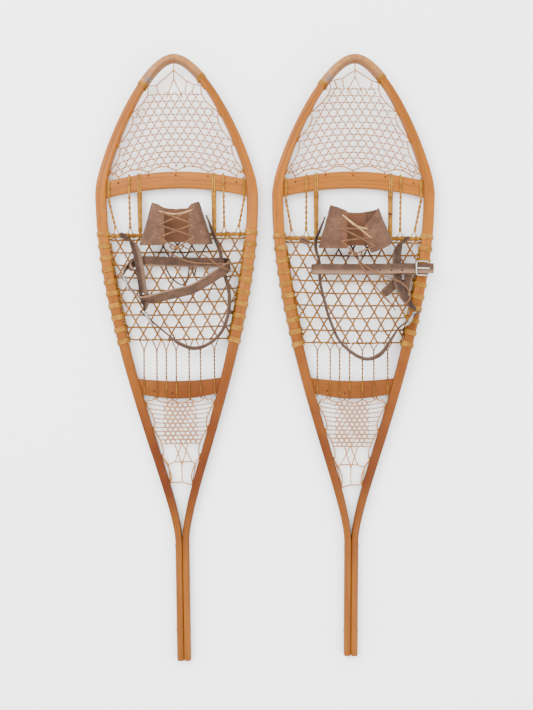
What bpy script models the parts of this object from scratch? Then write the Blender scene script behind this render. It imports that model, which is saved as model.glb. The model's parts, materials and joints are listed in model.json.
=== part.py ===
"""Pair of bent-ash snowshoes with rawhide webbing and leather bindings, metres, toes toward +Y, +Z up.

Each shoe is built in its own flat plan: u runs across the shoe, v runs from the tail end to the tip.
"""

import math

import bmesh
import bpy
from mathutils import Matrix, Vector

# Bow of each shoe
LENGTH = 1.220  # tail end to tip
HALF_WIDTH = 0.165  # centre line to the outer edge at the widest place
WIDEST_V = 0.939  # how far up the shoe the outer handles meet
TAIL_V = 0.240  # where the two tails part
TAIL_HALF = 0.0140  # outer edge of the paired tails
TAIL_GAP = 0.0003  # daylight between the paired tails
TAIL_HANDLE = 0.097
WAIST_HANDLE = 0.281
SHOULDER_HANDLE = 0.068
TIP_HANDLE = 0.071
RAIL_WIDTH = ((0.0, 0.0138), (0.25, 0.0138), (0.32, 0.0165), (0.55, 0.0195), (0.70, 0.022), (0.95, 0.022),
              (1.00, 0.0185), (1.12, 0.0165), (1.18, 0.0145), (1.22, 0.0125))
RAIL_HEIGHT = ((0.0, 0.017), (0.30, 0.019), (0.60, 0.022), (0.95, 0.022), (1.10, 0.0205), (1.22, 0.0175))
RAIL_LEAN = ((0.0, 0.0), (0.45, 0.0), (0.65, -5.0), (0.93, -5.0), (1.02, 6.0), (1.15, 7.0), (1.22, 12.0))
RAIL_LIFT = ((0.0, 0.0), (0.25, 0.0), (0.62, 0.0048), (0.95, 0.0048))
TOE_RISE = 0.024  # how far the tip curls up
TOE_RISE_FROM = 0.95
EDGE_ROUND = 0.0022
FIT = 0.0003  # gap left between neighbouring pieces
WRAP_FIT = 0.0005

# Pair
PAIR_GAP = 0.020  # room between the two shoes at their widest
CENTRE_SPACING = 2 * HALF_WIDTH + PAIR_GAP
TURN_LEFT = 0.9  # degrees each shoe is turned out
TURN_RIGHT = -0.3

# Crossbars
BAR_THICK = 0.010
TENON_DEPTH = 0.013
TENON_THICK = 0.0065
LACE_HOLE = 0.0036
FRONT_BAR = {"toe": 0.990, "toe_end": 0.972, "tail": 0.956, "tail_end": 0.938,
             "holes": ((-0.117, 0.968), (-0.056, 0.982), (-0.001, 0.982), (0.064, 0.979), (0.121, 0.966))}
REAR_BAR = {"toe": 0.567, "toe_end": 0.573, "tail": 0.531, "tail_end": 0.541,
            "holes": ((-0.051, 0.547), (-0.015, 0.542), (0.021, 0.541), (0.050, 0.548))}

# Webbing and lashings
MASTER_V = 0.862
MASTER_R = 0.004
WRAP_PITCH = 0.0241
WRAP_BAND = 0.011
WRAP_THICK = 0.0030
WRAP_COUNT = 9
WEB_THICK = 0.0030
WEB_PITCH = 0.025  # spacing of the strands that run straight across
WEB_STRAND = 0.0032
WEB_SIDE_GAP = 0.0009
WEB_REAR_V = 0.641
REAR_STRANDS = (-0.071, -0.045, -0.026, -0.006, 0.020, 0.043, 0.071)
TOE_CORD_U = 0.075
TOE_CORD_R = 0.0037
SIDE_STRANDS = ((0.136, 0.122), (0.095, 0.095))  # across at the bar, across at the master cord
SIDE_STRAND_R = 0.0019
NET_THICK = 0.0016
NET_GAP = 0.0022
TIP_WRAP = (1.165, 1.178)
TIP_WRAP_THICK = 0.0012

# Tails
RIVET_V = (0.062, 0.232)
RIVET_R = 0.0018
RIVET_HEAD_R = 0.0038
RIVET_HEAD = 0.0014

# Bindings
LEATHER = 0.0030
STRAP_THICK = 0.0028
THONG_R = 0.0013
INSTEP_WIDTH = 0.020
HEEL_WIDTH = 0.019
LOOP_R = 0.0044
BAR_R = 0.0016
BINDING_LIFT = 0.0012  # how much higher the bindings sit than their drawn heights
BUCKLE_LONG = 0.026
BUCKLE_WIDE = 0.0275
PRONG_WIDE = 0.0034
PRONG_THICK = 0.0016

SKINS = {
    "ash_wood": ((0.52, 0.235, 0.085), 0.42, 0.0),
    "rawhide_gold": ((0.52, 0.28, 0.075), 0.45, 0.0),
    "rawhide_amber": ((0.42, 0.19, 0.035), 0.4, 0.0),
    "rawhide_cover": ((0.36, 0.19, 0.085), 0.5, 0.0),
    "suede_leather": ((0.27, 0.16, 0.11), 0.9, 0.0),
    "strap_leather": ((0.20, 0.115, 0.075), 0.7, 0.0),
    "lace_thong": ((0.45, 0.31, 0.18), 0.7, 0.0),
    "nickel_steel": ((0.62, 0.61, 0.58), 0.3, 1.0),
}

SHOES = {
    "left": {"side": -1, "turn": TURN_LEFT, "trim": 0.0, "web": 0.0},
    "right": {"side": 1, "turn": TURN_RIGHT, "trim": 0.010, "web": -0.007},
}


def along(table, v):
    """Read a table of (v, value) pairs at v, straight between its rows."""
    if v <= table[0][0]:
        return table[0][1]
    for (v0, a), (v1, b) in zip(table, table[1:]):
        if v <= v1:
            return a + (b - a) * (v - v0) / (v1 - v0)
    return table[-1][1]


def lift(v):
    """Height of the rail's underside above the ground at v."""
    climb = max(0.0, (v - TOE_RISE_FROM) / (LENGTH - TOE_RISE_FROM))
    return along(RAIL_LIFT, v) + TOE_RISE * climb ** 2


def mid_height(v):
    """Height of the rail's centre at v."""
    return lift(v) + along(RAIL_HEIGHT, v) / 2


def bezier(p0, p1, p2, p3, t):
    """Point of a cubic curve in the plan."""
    s = 1 - t
    return p0 * s ** 3 + p1 * 3 * s * s * t + p2 * 3 * s * t * t + p3 * t ** 3


def half_outline(start):
    """Outer edge of one side, from the tail end to the tip, as plan points."""
    points = [Vector((TAIL_HALF, start)), Vector((TAIL_HALF, 0.12))]
    tail = Vector((TAIL_HALF, TAIL_V))
    wide = Vector((HALF_WIDTH, WIDEST_V))
    tip = Vector((0.0, LENGTH))
    low = (tail, tail + Vector((0, TAIL_HANDLE)), wide - Vector((0, WAIST_HANDLE)), wide)
    high = (wide, wide + Vector((0, SHOULDER_HANDLE)), tip + Vector((TIP_HANDLE, 0)), tip)
    points += [bezier(*low, i / 18) for i in range(18)]
    points += [bezier(*high, i / 14) for i in range(15)]
    return points


def rail_stations(start):
    """Cross-sections of the whole bow: centre, inward axis, upward axis, width, height."""
    half = half_outline(start)
    outer = [Vector((-p.x, p.y)) for p in half] + [p.copy() for p in reversed(half[:-1])]
    stations = []
    for i, p in enumerate(outer):
        ahead = outer[min(i + 1, len(outer) - 1)]
        behind = outer[max(i - 1, 0)]
        run = (ahead - behind).normalized()
        if p.y <= TAIL_V:
            run = Vector((0, -math.copysign(1, p.x)))
        inward = Vector((run.y, -run.x, 0))
        lean = math.radians(along(RAIL_LEAN, p.y))
        width = along(RAIL_WIDTH, p.y)
        height = along(RAIL_HEIGHT, p.y)
        step = width / 2 * math.cos(lean) + height / 2 * abs(math.sin(lean))
        centre = Vector((p.x, p.y, mid_height(p.y))) + inward * step
        if p.y <= TAIL_V:
            centre.x = math.copysign(TAIL_HALF + TAIL_GAP / 2, p.x) / 2
            width = TAIL_HALF - TAIL_GAP / 2
        across = inward * math.cos(lean) + Vector((0, 0, math.sin(lean)))
        up = Vector((0, 0, math.cos(lean))) - inward * math.sin(lean)
        stations.append((centre, across, up, width, height))
    return stations


def rail_at(stations, side, v):
    """Section of the rail on one side at v, straight between stations."""
    half = (len(stations) + 1) // 2
    rows = stations[:half] if side < 0 else stations[:half - 2:-1]
    for a, b in zip(rows, rows[1:]):
        if v <= b[0].y:
            t = max(0.0, (v - a[0].y) / (b[0].y - a[0].y))
            return tuple(x + (y - x) * t for x, y in zip(a, b))
    return rows[-1]


def inner_u(stations, v):
    """Half-distance between the rails' inner faces at v."""
    half = (len(stations) + 1) // 2
    face = [c + across * (width / 2) for c, across, _, width, _ in stations[:half]]
    return along([(p.y, -p.x) for p in face], v)


def rect_ring(section, grow, mid_cells=False):
    """Corner points around a section, grown outward; mid_cells splits the inner side in three."""
    centre, across, up, width, height = section
    a = across * (width / 2 + grow)
    b = up * (height / 2 + grow)
    ring = [centre - a - b, centre + a - b]
    if mid_cells:
        ring += [centre + a - b * 0.3, centre + a + b * 0.3]
    return ring + [centre + a + b, centre - a + b]


class Builder:
    """Makes the pieces of one shoe under its own empties."""

    def __init__(self, name):
        """Set up the shoe's empty and its rail sections."""
        self.name = name
        self.spec = SHOES[name]
        self.side = self.spec["side"]
        self.stations = rail_stations(self.spec["trim"])
        self.master = MASTER_V + self.spec["web"]
        self.shoe = self.empty("shoe", None, Vector((0, LENGTH / 2, 0)))
        self.shoe.location = (self.side * CENTRE_SPACING / 2, 0, 0)
        self.shoe.rotation_euler = (0, 0, math.radians(self.spec["turn"]))

    def empty(self, name, parent, pivot):
        """Add an empty whose origin is the plan point pivot."""
        empty = bpy.data.objects.new(f"{self.name}_{name}_axis", None)
        empty["pivot"] = tuple(pivot)
        bpy.context.scene.collection.objects.link(empty)
        if parent:
            empty.parent = parent
            empty.location = pivot - Vector(parent["pivot"])
        return empty

    def add(self, name, bm, skin, parent=None):
        """Turn a bmesh in plan coordinates into an object under parent."""
        parent = parent or self.shoe
        bmesh.ops.recalc_face_normals(bm, faces=bm.faces)
        bmesh.ops.transform(bm, matrix=Matrix.Translation(-Vector(parent["pivot"])), verts=bm.verts)
        full = f"{self.name}_{name}"
        mesh = bpy.data.meshes.new(full)
        bm.to_mesh(mesh)
        bm.free()
        obj = bpy.data.objects.new(full, mesh)
        bpy.context.scene.collection.objects.link(obj)
        obj.parent = parent
        mesh.materials.append(self.material(full, skin))
        return obj

    def material(self, name, skin):
        """Give a piece its own Principled material."""
        colour, rough, metal = SKINS[skin]
        mat = bpy.data.materials.new(name)
        mat.use_nodes = True
        shader = mat.node_tree.nodes["Principled BSDF"]
        shader.inputs["Base Color"].default_value = (*colour, 1)
        shader.inputs["Roughness"].default_value = rough
        shader.inputs["Metallic"].default_value = metal
        return mat

    def boolean(self, obj, bm, operation):
        """Cut or join one closed body with the bodies in a bmesh given in plan coordinates."""
        pivot = Vector(obj.parent["pivot"])
        bmesh.ops.recalc_face_normals(bm, faces=bm.faces)
        bmesh.ops.transform(bm, matrix=Matrix.Translation(-pivot), verts=bm.verts)
        mesh = bpy.data.meshes.new("cutter")
        bm.to_mesh(mesh)
        bm.free()
        cutter = bpy.data.objects.new("cutter", mesh)
        bpy.context.scene.collection.objects.link(cutter)
        cutter.parent = obj.parent
        mod = obj.modifiers.new("cut", "BOOLEAN")
        mod.solver = "EXACT"
        mod.operation = operation
        mod.use_self = operation == "UNION"
        mod.object = cutter
        bpy.context.view_layer.update()
        result = bpy.data.meshes.new_from_object(obj.evaluated_get(bpy.context.evaluated_depsgraph_get()))
        obj.modifiers.clear()
        old = obj.data
        obj.data = result
        bpy.data.meshes.remove(old)
        bpy.data.objects.remove(cutter)


def skin_rings(bm, rings, closed=False):
    """Skin equal-length rings of points into bm, capping the two ends unless the run is closed."""
    rows = [[bm.verts.new(p) for p in ring] for ring in rings]
    pairs = list(zip(rows, rows[1:]))
    if closed:
        pairs.append((rows[-1], rows[0]))
    for a, b in pairs:
        for j in range(len(a)):
            k = (j + 1) % len(a)
            bm.faces.new((a[j], a[k], b[k], b[j]))
    if not closed:
        bm.faces.new(rows[0])
        bm.faces.new(reversed(rows[-1]))
    return bm


def shell(bm, inner, outer, filled):
    """Thick wall between two grids of points, kept only where filled(i, j); rings close on themselves."""
    made = {}

    def vert(layer, i, j):
        key = (layer, i, j % len(inner[0]))
        if key not in made:
            made[key] = bm.verts.new((inner, outer)[layer][i][key[2]])
        return made[key]

    count = len(inner[0])
    for i in range(len(inner) - 1):
        for j in range(count):
            if not filled(i, j):
                continue
            bm.faces.new([vert(0, i, j), vert(0, i, j + 1), vert(0, i + 1, j + 1), vert(0, i + 1, j)])
            bm.faces.new([vert(1, i, j), vert(1, i + 1, j), vert(1, i + 1, j + 1), vert(1, i, j + 1)])
            sides = (((i - 1, j), (i, j), (i, j + 1)), ((i + 1, j), (i + 1, j), (i + 1, j + 1)),
                     ((i, (j - 1) % count), (i, j), (i + 1, j)),
                     ((i, (j + 1) % count), (i, j + 1), (i + 1, j + 1)))
            for near, p, q in sides:
                open_end = near[0] < 0 or near[0] >= len(inner) - 1
                if open_end or not filled(*near):
                    bm.faces.new([vert(0, *p), vert(0, *q), vert(1, *q), vert(1, *p)])
    return bm


def tube_rings(points, radius, sides=6):
    """Rings of a round tube through points, without twist."""
    rings = []
    side_axis = None
    for i, p in enumerate(points):
        run = (points[min(i + 1, len(points) - 1)] - points[max(i - 1, 0)]).normalized()
        if side_axis is None:
            side_axis = run.orthogonal().normalized()
        side_axis = (side_axis - run * side_axis.dot(run)).normalized()
        other = run.cross(side_axis)
        angles = [2 * math.pi * k / sides for k in range(sides)]
        rings.append([p + (side_axis * math.cos(a) + other * math.sin(a)) * radius for a in angles])
    return rings


def smooth(points, per=3):
    """Catmull-Rom points through a list of vectors."""
    padded = [points[0] * 2 - points[1]] + list(points) + [points[-1] * 2 - points[-2]]
    found = []
    for a, b, c, d in zip(padded, padded[1:], padded[2:], padded[3:]):
        for k in range(per):
            t = k / per
            found.append(0.5 * (2 * b + (c - a) * t + (2 * a - 5 * b + 4 * c - d) * t * t
                                + (3 * b - a - 3 * c + d) * t ** 3))
    return found + [points[-1].copy()]


def strap_frames(stops, per=3):
    """Point, run, width and face directions along a strap given as (point, width direction) stops."""
    points = smooth([Vector(p) for p, _ in stops], per)
    wides = smooth([Vector(w).normalized() for _, w in stops], per)
    frames = []
    for i, p in enumerate(points):
        run = (points[min(i + 1, len(points) - 1)] - points[max(i - 1, 0)]).normalized()
        wide = (wides[i] - run * wides[i].dot(run)).normalized()
        frames.append((p, run, wide, run.cross(wide)))
    return frames


def strap_rings(frames, width, thick):
    """Four-cornered sections of a flat strap."""
    rings = []
    for p, _, wide, face in frames:
        w = wide * (width / 2)
        f = face * (thick / 2)
        rings.append([p - w - f, p + w - f, p + w + f, p - w + f])
    return rings


def prism(bm, centre, x_axis, y_axis, z_axis, sizes):
    """Box about centre with the given half-axes."""
    x, y, z = x_axis * sizes[0] / 2, y_axis * sizes[1] / 2, z_axis * sizes[2] / 2
    skin_rings(bm, [[centre + x * a + y * b + z * c for a, b in ((-1, -1), (1, -1), (1, 1), (-1, 1))]
                    for c in (-1, 1)])


def pin(bm, centre, axis, radius, length, sides=8):
    """Round bar about centre."""
    rings = tube_rings([centre - axis * length / 2, centre + axis * length / 2], radius, sides)
    skin_rings(bm, rings)


def build_frame(shoe):
    """Bow bent from one stick, with mortises for both crossbars and holes for the tail rivets."""
    rings = []
    for centre, across, up, width, height in shoe.stations:
        c = EDGE_ROUND
        a, b = width / 2, height / 2
        corners = ((-a + c, -b), (a - c, -b), (a, -b + c), (a, b - c), (a - c, b), (-a + c, b), (-a, b - c),
                   (-a, -b + c))
        rings.append([centre + across * x + up * y for x, y in corners])
    obj = shoe.add("frame", skin_rings(bmesh.new(), rings), "ash_wood")
    cutter = bmesh.new()
    for bar in (FRONT_BAR, REAR_BAR):
        for side in (-1, 1):
            skin_rings(cutter, tenon_rings(shoe, bar, side, FIT, -0.003))
    for v in RIVET_V:
        pin(cutter, Vector((0, v, mid_height(v))), Vector((1, 0, 0)), RIVET_R + FIT, 0.06, 10)
    shoe.boolean(obj, cutter, "DIFFERENCE")


def bar_edges(bar, share):
    """Toe-side and tail-side edge of a crossbar at share of its half-length."""
    ease = share * share
    toe = bar["toe"] + (bar["toe_end"] - bar["toe"]) * ease
    tail = bar["tail"] + (bar["tail_end"] - bar["tail"]) * ease
    return toe, tail


def bar_section(shoe, bar, share, trim, thick, at_u):
    """Eight points of a crossbar section; at_u(v) gives how far across each point sits."""
    toe, tail = bar_edges(bar, share)
    toe, tail = toe - trim, tail + trim
    z = mid_height((toe + tail) / 2)
    c = thick * 0.22
    t = thick / 2
    profile = ((tail + c, -t), (toe - c, -t), (toe, -t + c), (toe, t - c), (toe - c, t), (tail + c, t),
               (tail, t - c), (tail, -t + c))
    return [Vector((at_u(v), v, z + h)) for v, h in profile]


def tenon_rings(shoe, bar, side, grow, start):
    """Tenon at one end of a crossbar, or with grow the mortise that takes it."""
    trim = 0.005 - grow
    thick = TENON_THICK + 2 * grow
    rings = []
    for depth in (start, TENON_DEPTH + grow):
        at_u = lambda v, d=depth: side * (inner_u(shoe.stations, v) + d)
        rings.append(bar_section(shoe, bar, 1.0, trim, thick, at_u))
    return rings


def build_bar(shoe, name, bar):
    """Crossbar with shoulders against the rails, a tenon at each end and lacing holes."""
    shoulder = 0.0013
    shares = (-1, -0.75, -0.5, -0.25, 0, 0.25, 0.5, 0.75, 1)
    rings = [tenon_rings(shoe, bar, -1, 0, -shoulder)[1], tenon_rings(shoe, bar, -1, 0, -shoulder)[0]]
    for share in shares:
        rings.append(bar_section(shoe, bar, abs(share), 0, BAR_THICK,
                                 lambda v, s=share: s * (inner_u(shoe.stations, v) - shoulder)))
    rings += tenon_rings(shoe, bar, 1, 0, -shoulder)
    obj = shoe.add(name, skin_rings(bmesh.new(), rings), "ash_wood")
    cutter = bmesh.new()
    for u, v in bar["holes"]:
        pin(cutter, Vector((u, v, mid_height(v))), Vector((0, 0, 1)), LACE_HOLE / 2, 0.05, 6)
    shoe.boolean(obj, cutter, "DIFFERENCE")


def band_shell(bm, sections, filled, gap, thick, mid_cells=False):
    """Sleeve of hide around rail sections."""
    inner = [rect_ring(s, gap, mid_cells) for s in sections]
    outer = [rect_ring(s, gap + thick, mid_cells) for s in sections]
    return shell(bm, inner, outer, filled)


def build_tip(shoe):
    """Hide cover over the tip with a lashing at each of its ends."""
    half = (len(shoe.stations) + 1) // 2
    low = [s for s in shoe.stations[:half] if s[0].y > TIP_WRAP[0] - 0.006]
    high = [s for s in shoe.stations[half:] if s[0].y > TIP_WRAP[1] - 0.006]
    sections = low + high
    cover = band_shell(bmesh.new(), sections, lambda i, j: True, FIT, TIP_WRAP_THICK)
    shoe.add("tip_cover", cover, "rawhide_cover")
    for name, side, end in (("a", -1, low[0]), ("b", 1, high[-1])):
        top = end[0].y - 0.0008
        ends = [rail_at(shoe.stations, side, v) for v in (top, top - 0.008)]
        bm = band_shell(bmesh.new(), ends, lambda i, j: True, WRAP_FIT, 0.0028)
        shoe.add(f"tip_lashing_{name}", bm, "rawhide_gold")


def build_rail_lashings(shoe):
    """Run of wraps on each rail joined by the cord that lies along its inner face."""
    half = WRAP_BAND / 2
    first = shoe.master + 0.003 - WRAP_PITCH
    for name, side in (("outer", shoe.side), ("inner", -shoe.side)):
        cuts = []
        for k in range(WRAP_COUNT):
            cuts += [first - k * WRAP_PITCH + half, first - k * WRAP_PITCH - half]
        sections = [rail_at(shoe.stations, side, v) for v in cuts]
        bm = band_shell(bmesh.new(), sections, lambda i, j: i % 2 == 0 or j == 2, WRAP_FIT, WRAP_THICK, True)
        shoe.add(f"rail_lashing_{name}", bm, "rawhide_gold")


def build_master(shoe):
    """Thick cord across the shoe that the foot hinges on, its wraps round the rails and the side strands."""
    z = mid_height(MASTER_V)
    v = shoe.master
    reach = inner_u(shoe.stations, v) - WRAP_FIT - WRAP_THICK / 2
    cord = tube_rings([Vector((-reach, v, z)), Vector((reach, v, z))], MASTER_R, 10)
    obj = shoe.add("master_cord", skin_rings(bmesh.new(), cord), "rawhide_gold")
    extra = bmesh.new()
    for side in (-1, 1):
        ends = [rail_at(shoe.stations, side, v + d) for d in (0.0085, -0.0025)]
        band_shell(extra, ends, lambda i, j: True, WRAP_FIT, WRAP_THICK)
        for at_bar, at_cord in SIDE_STRANDS:
            tail = bar_edges(FRONT_BAR, at_bar / inner_u(shoe.stations, 0.945))[1]
            top = mid_height(0.945) + BAR_THICK / 2 + SIDE_STRAND_R + FIT
            route = [Vector((side * at_cord, v, z)), Vector((side * at_bar, tail - 0.006, top)),
                     Vector((side * at_bar, tail + 0.022, top))]
            skin_rings(extra, tube_rings(route, SIDE_STRAND_R, 6))
    shoe.boolean(obj, extra, "UNION")


def build_toe_cords(shoe):
    """Wrapped cord on each side of the toe hole, from the front crossbar to the master cord."""
    share = TOE_CORD_U / inner_u(shoe.stations, 0.95)
    start = shoe.master + MASTER_R + FIT
    stop = bar_edges(FRONT_BAR, share)[1] - 0.0015
    for name, side in (("outer", shoe.side), ("inner", -shoe.side)):
        z = mid_height(MASTER_V)
        ends = [Vector((side * TOE_CORD_U, v, z)) for v in (start, (start + stop) / 2, stop)]
        cord = skin_rings(bmesh.new(), tube_rings(ends, TOE_CORD_R, 8))
        shoe.add(f"toe_cord_{name}", cord, "rawhide_gold")


def web_height(shoe, v):
    """Height of the body web's middle: it climbs to pass over the rear crossbar."""
    top = mid_height(0.55) + BAR_THICK / 2 + FIT + WEB_THICK / 2
    return along(((0.576, top), (WEB_REAR_V - 0.004, mid_height(0.70))), v)


def clip_hex(points, limit):
    """Cut a plan polygon back to |u| below limit(v)."""
    side = math.copysign(1, sum(p.x for p in points))
    kept = []
    for a, b in zip(points, points[1:] + points[:1]):
        da = limit(a.y) - side * a.x
        db = limit(b.y) - side * b.x
        if da >= 0:
            kept.append(a)
        if (da > 0) != (db > 0) and abs(da - db) > 1e-9:
            kept.append(a + (b - a) * (da / (da - db)))
    return kept


def build_web(shoe):
    """Hexagon lattice under the foot with the seven strands that run back over the rear crossbar."""
    shift = shoe.spec["web"]
    wall = WRAP_FIT + WRAP_THICK + WEB_SIDE_GAP
    edge_v = [WEB_REAR_V + (0.848 - WEB_REAR_V) * k / 8 + shift * k / 8 for k in range(9)]
    right = [Vector((inner_u(shoe.stations, v) - wall, v)) for v in edge_v]
    front = shoe.master - MASTER_R - FIT
    back = shoe.master - LOOP_R - 0.0034
    line = [Vector((right[-1].x, front))]
    for side in (1, -1):
        notch = [Vector((side * 0.067, front)), Vector((side * 0.067, back)),
                 Vector((side * 0.049, back)), Vector((side * 0.049, front))]
        line += notch if side > 0 else notch[::-1]
    line.append(Vector((-right[-1].x, front)))
    outline = right + line + [Vector((-p.x, p.y)) for p in reversed(right)]
    for u in REAR_STRANDS:
        tail_v = bar_edges(REAR_BAR, abs(u) / 0.080)[1] - 0.002
        s = WEB_STRAND / 2
        outline += [Vector((u - s, WEB_REAR_V)), Vector((u - s, tail_v))]
        outline += [Vector((u + s, tail_v)), Vector((u + s, WEB_REAR_V))]
    z = mid_height(0.70)
    rings = [[Vector((p.x, p.y, z + h)) for p in outline] for h in (-WEB_THICK / 2, WEB_THICK / 2)]
    obj = shoe.add("body_web", skin_rings(bmesh.new(), rings), "rawhide_amber")
    cutter = bmesh.new()
    for hexagon in web_hexes(shoe):
        skin_rings(cutter, [[Vector((p.x, p.y, z + h)) for p in hexagon] for h in (-0.01, 0.01)])
    shoe.boolean(obj, cutter, "DIFFERENCE")
    bm = bmesh.new()
    bm.from_mesh(obj.data)
    pivot = Vector(obj.parent["pivot"])
    for v in (WEB_REAR_V - 0.004, 0.576):
        geom = bm.verts[:] + bm.edges[:] + bm.faces[:]
        bmesh.ops.bisect_plane(bm, geom=geom, plane_co=(0, v - pivot.y, 0), plane_no=(0, 1, 0))
    for vert in bm.verts:
        vert.co.z += web_height(shoe, vert.co.y + pivot.y) - z
    bm.to_mesh(obj.data)
    bm.free()


def web_hexes(shoe):
    """Plan outlines of the web's open cells."""
    cell = WEB_PITCH / math.sqrt(3)
    radius = cell - WEB_STRAND / math.sqrt(3)
    front = shoe.master - MASTER_R - FIT - 0.0045
    rows = int((front - WEB_REAR_V) / WEB_PITCH)
    found = []
    for row in range(rows):
        v = front - (row + 0.5) * WEB_PITCH
        for k in range(-6, 7):
            u = (2 * k + row % 2) * cell
            corners = [math.radians(60 * a) for a in range(6)]
            hexagon = [Vector((u + radius * math.cos(a), v + radius * math.sin(a))) for a in corners]
            limit = lambda y: inner_u(shoe.stations, y) - WRAP_FIT - WRAP_THICK - WEB_SIDE_GAP - WEB_STRAND
            if all(abs(p.x) < limit(p.y) for p in hexagon):
                found.append(hexagon)
            elif abs(u) < limit(v) - radius * 0.35:
                found.append(clip_hex(hexagon, limit))
    return found


def build_net(shoe, name, edge, middle, skin):
    """Fine net drawn as one thin sheet from a scalloped edge to a middle point."""
    centre = Vector((middle[0], middle[1], mid_height(middle[1])))
    bm = bmesh.new()
    layers = []
    for h in (-NET_THICK / 2, NET_THICK / 2):
        offset = Vector((0, 0, h))
        rim = [bm.verts.new(p + offset) for p in edge]
        ring = []
        for p in edge:
            q = (p + centre) / 2
            q.z = mid_height(q.y)
            ring.append(bm.verts.new(q + offset))
        hub = bm.verts.new(centre + offset)
        layers.append((rim, ring, hub))
        for i in range(len(edge)):
            j = (i + 1) % len(edge)
            bm.faces.new((rim[i], rim[j], ring[j], ring[i]))
            bm.faces.new((ring[i], ring[j], hub))
    low, high = layers[0][0], layers[1][0]
    for i in range(len(edge)):
        j = (i + 1) % len(edge)
        bm.faces.new((low[i], low[j], high[j], high[i]))
    shoe.add(name, bm, skin)


def scalloped(shoe, ties, dip):
    """Right-hand net edge: near the rail at each tie, pulled in by dip between them."""
    points = []
    for k, v in enumerate(ties):
        points.append(Vector((inner_u(shoe.stations, v) - NET_GAP, v, mid_height(v))))
        if k + 1 < len(ties):
            mid = (v + ties[k + 1]) / 2
            points.append(Vector((inner_u(shoe.stations, mid) - dip, mid, mid_height(mid))))
    return points


def mirrored(points):
    """The same points on the other side, in reverse order."""
    return [Vector((-p.x, p.y, p.z)) for p in reversed(points)]


def build_nets(shoe):
    """Toe net ahead of the front crossbar and heel net behind the rear one."""
    right = scalloped(shoe, (0.998, 1.052, 1.106, 1.146), 0.009)
    tip = [Vector((0.008, 1.192, mid_height(1.192)))]
    low = [Vector((u, bar_edges(FRONT_BAR, abs(u) / 0.145)[0] + (0.003 if k % 2 else 0.008), 0))
           for k, u in enumerate((-0.12, -0.09, -0.06, -0.03, 0.0, 0.03, 0.06, 0.09, 0.12))]
    low = [Vector((p.x, p.y, mid_height(p.y))) for p in low]
    edge = right + tip + mirrored(tip) + mirrored(right) + low
    build_net(shoe, "toe_net", edge, (0.0, 1.06), "rawhide_amber")
    right = scalloped(shoe, (0.361, 0.410, 0.467, 0.519), 0.008)
    top = [Vector((u, bar_edges(REAR_BAR, abs(u) / 0.075)[1] - (0.002 if k % 2 == 0 else 0.006), 0))
           for k, u in enumerate((0.050, 0.033, 0.018, 0.0, -0.018, -0.033, -0.050))]
    top = [Vector((p.x, p.y, mid_height(p.y))) for p in top]
    edge = right + top + mirrored(right) + [Vector((0.0, 0.352, mid_height(0.352)))]
    build_net(shoe, "heel_net", edge, (0.0, 0.46), "rawhide_amber")


def build_rivets(shoe):
    """Rivets through both tails, each with a head on either side."""
    for k, v in enumerate(RIVET_V):
        seat = TAIL_HALF + FIT
        profile = ((seat + RIVET_HEAD, RIVET_HEAD_R * 0.6), (seat + RIVET_HEAD * 0.7, RIVET_HEAD_R),
                   (seat, RIVET_HEAD_R), (seat, RIVET_R))
        runs = [(-u, r) for u, r in profile] + [(u, r) for u, r in reversed(profile)]
        angles = [2 * math.pi * a / 10 for a in range(10)]
        z = mid_height(v)
        rings = [[Vector((u, v + r * math.cos(a), z + r * math.sin(a))) for a in angles] for u, r in runs]
        shoe.add(f"tail_rivet_{k + 1}", skin_rings(bmesh.new(), rings), "nickel_steel")


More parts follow.
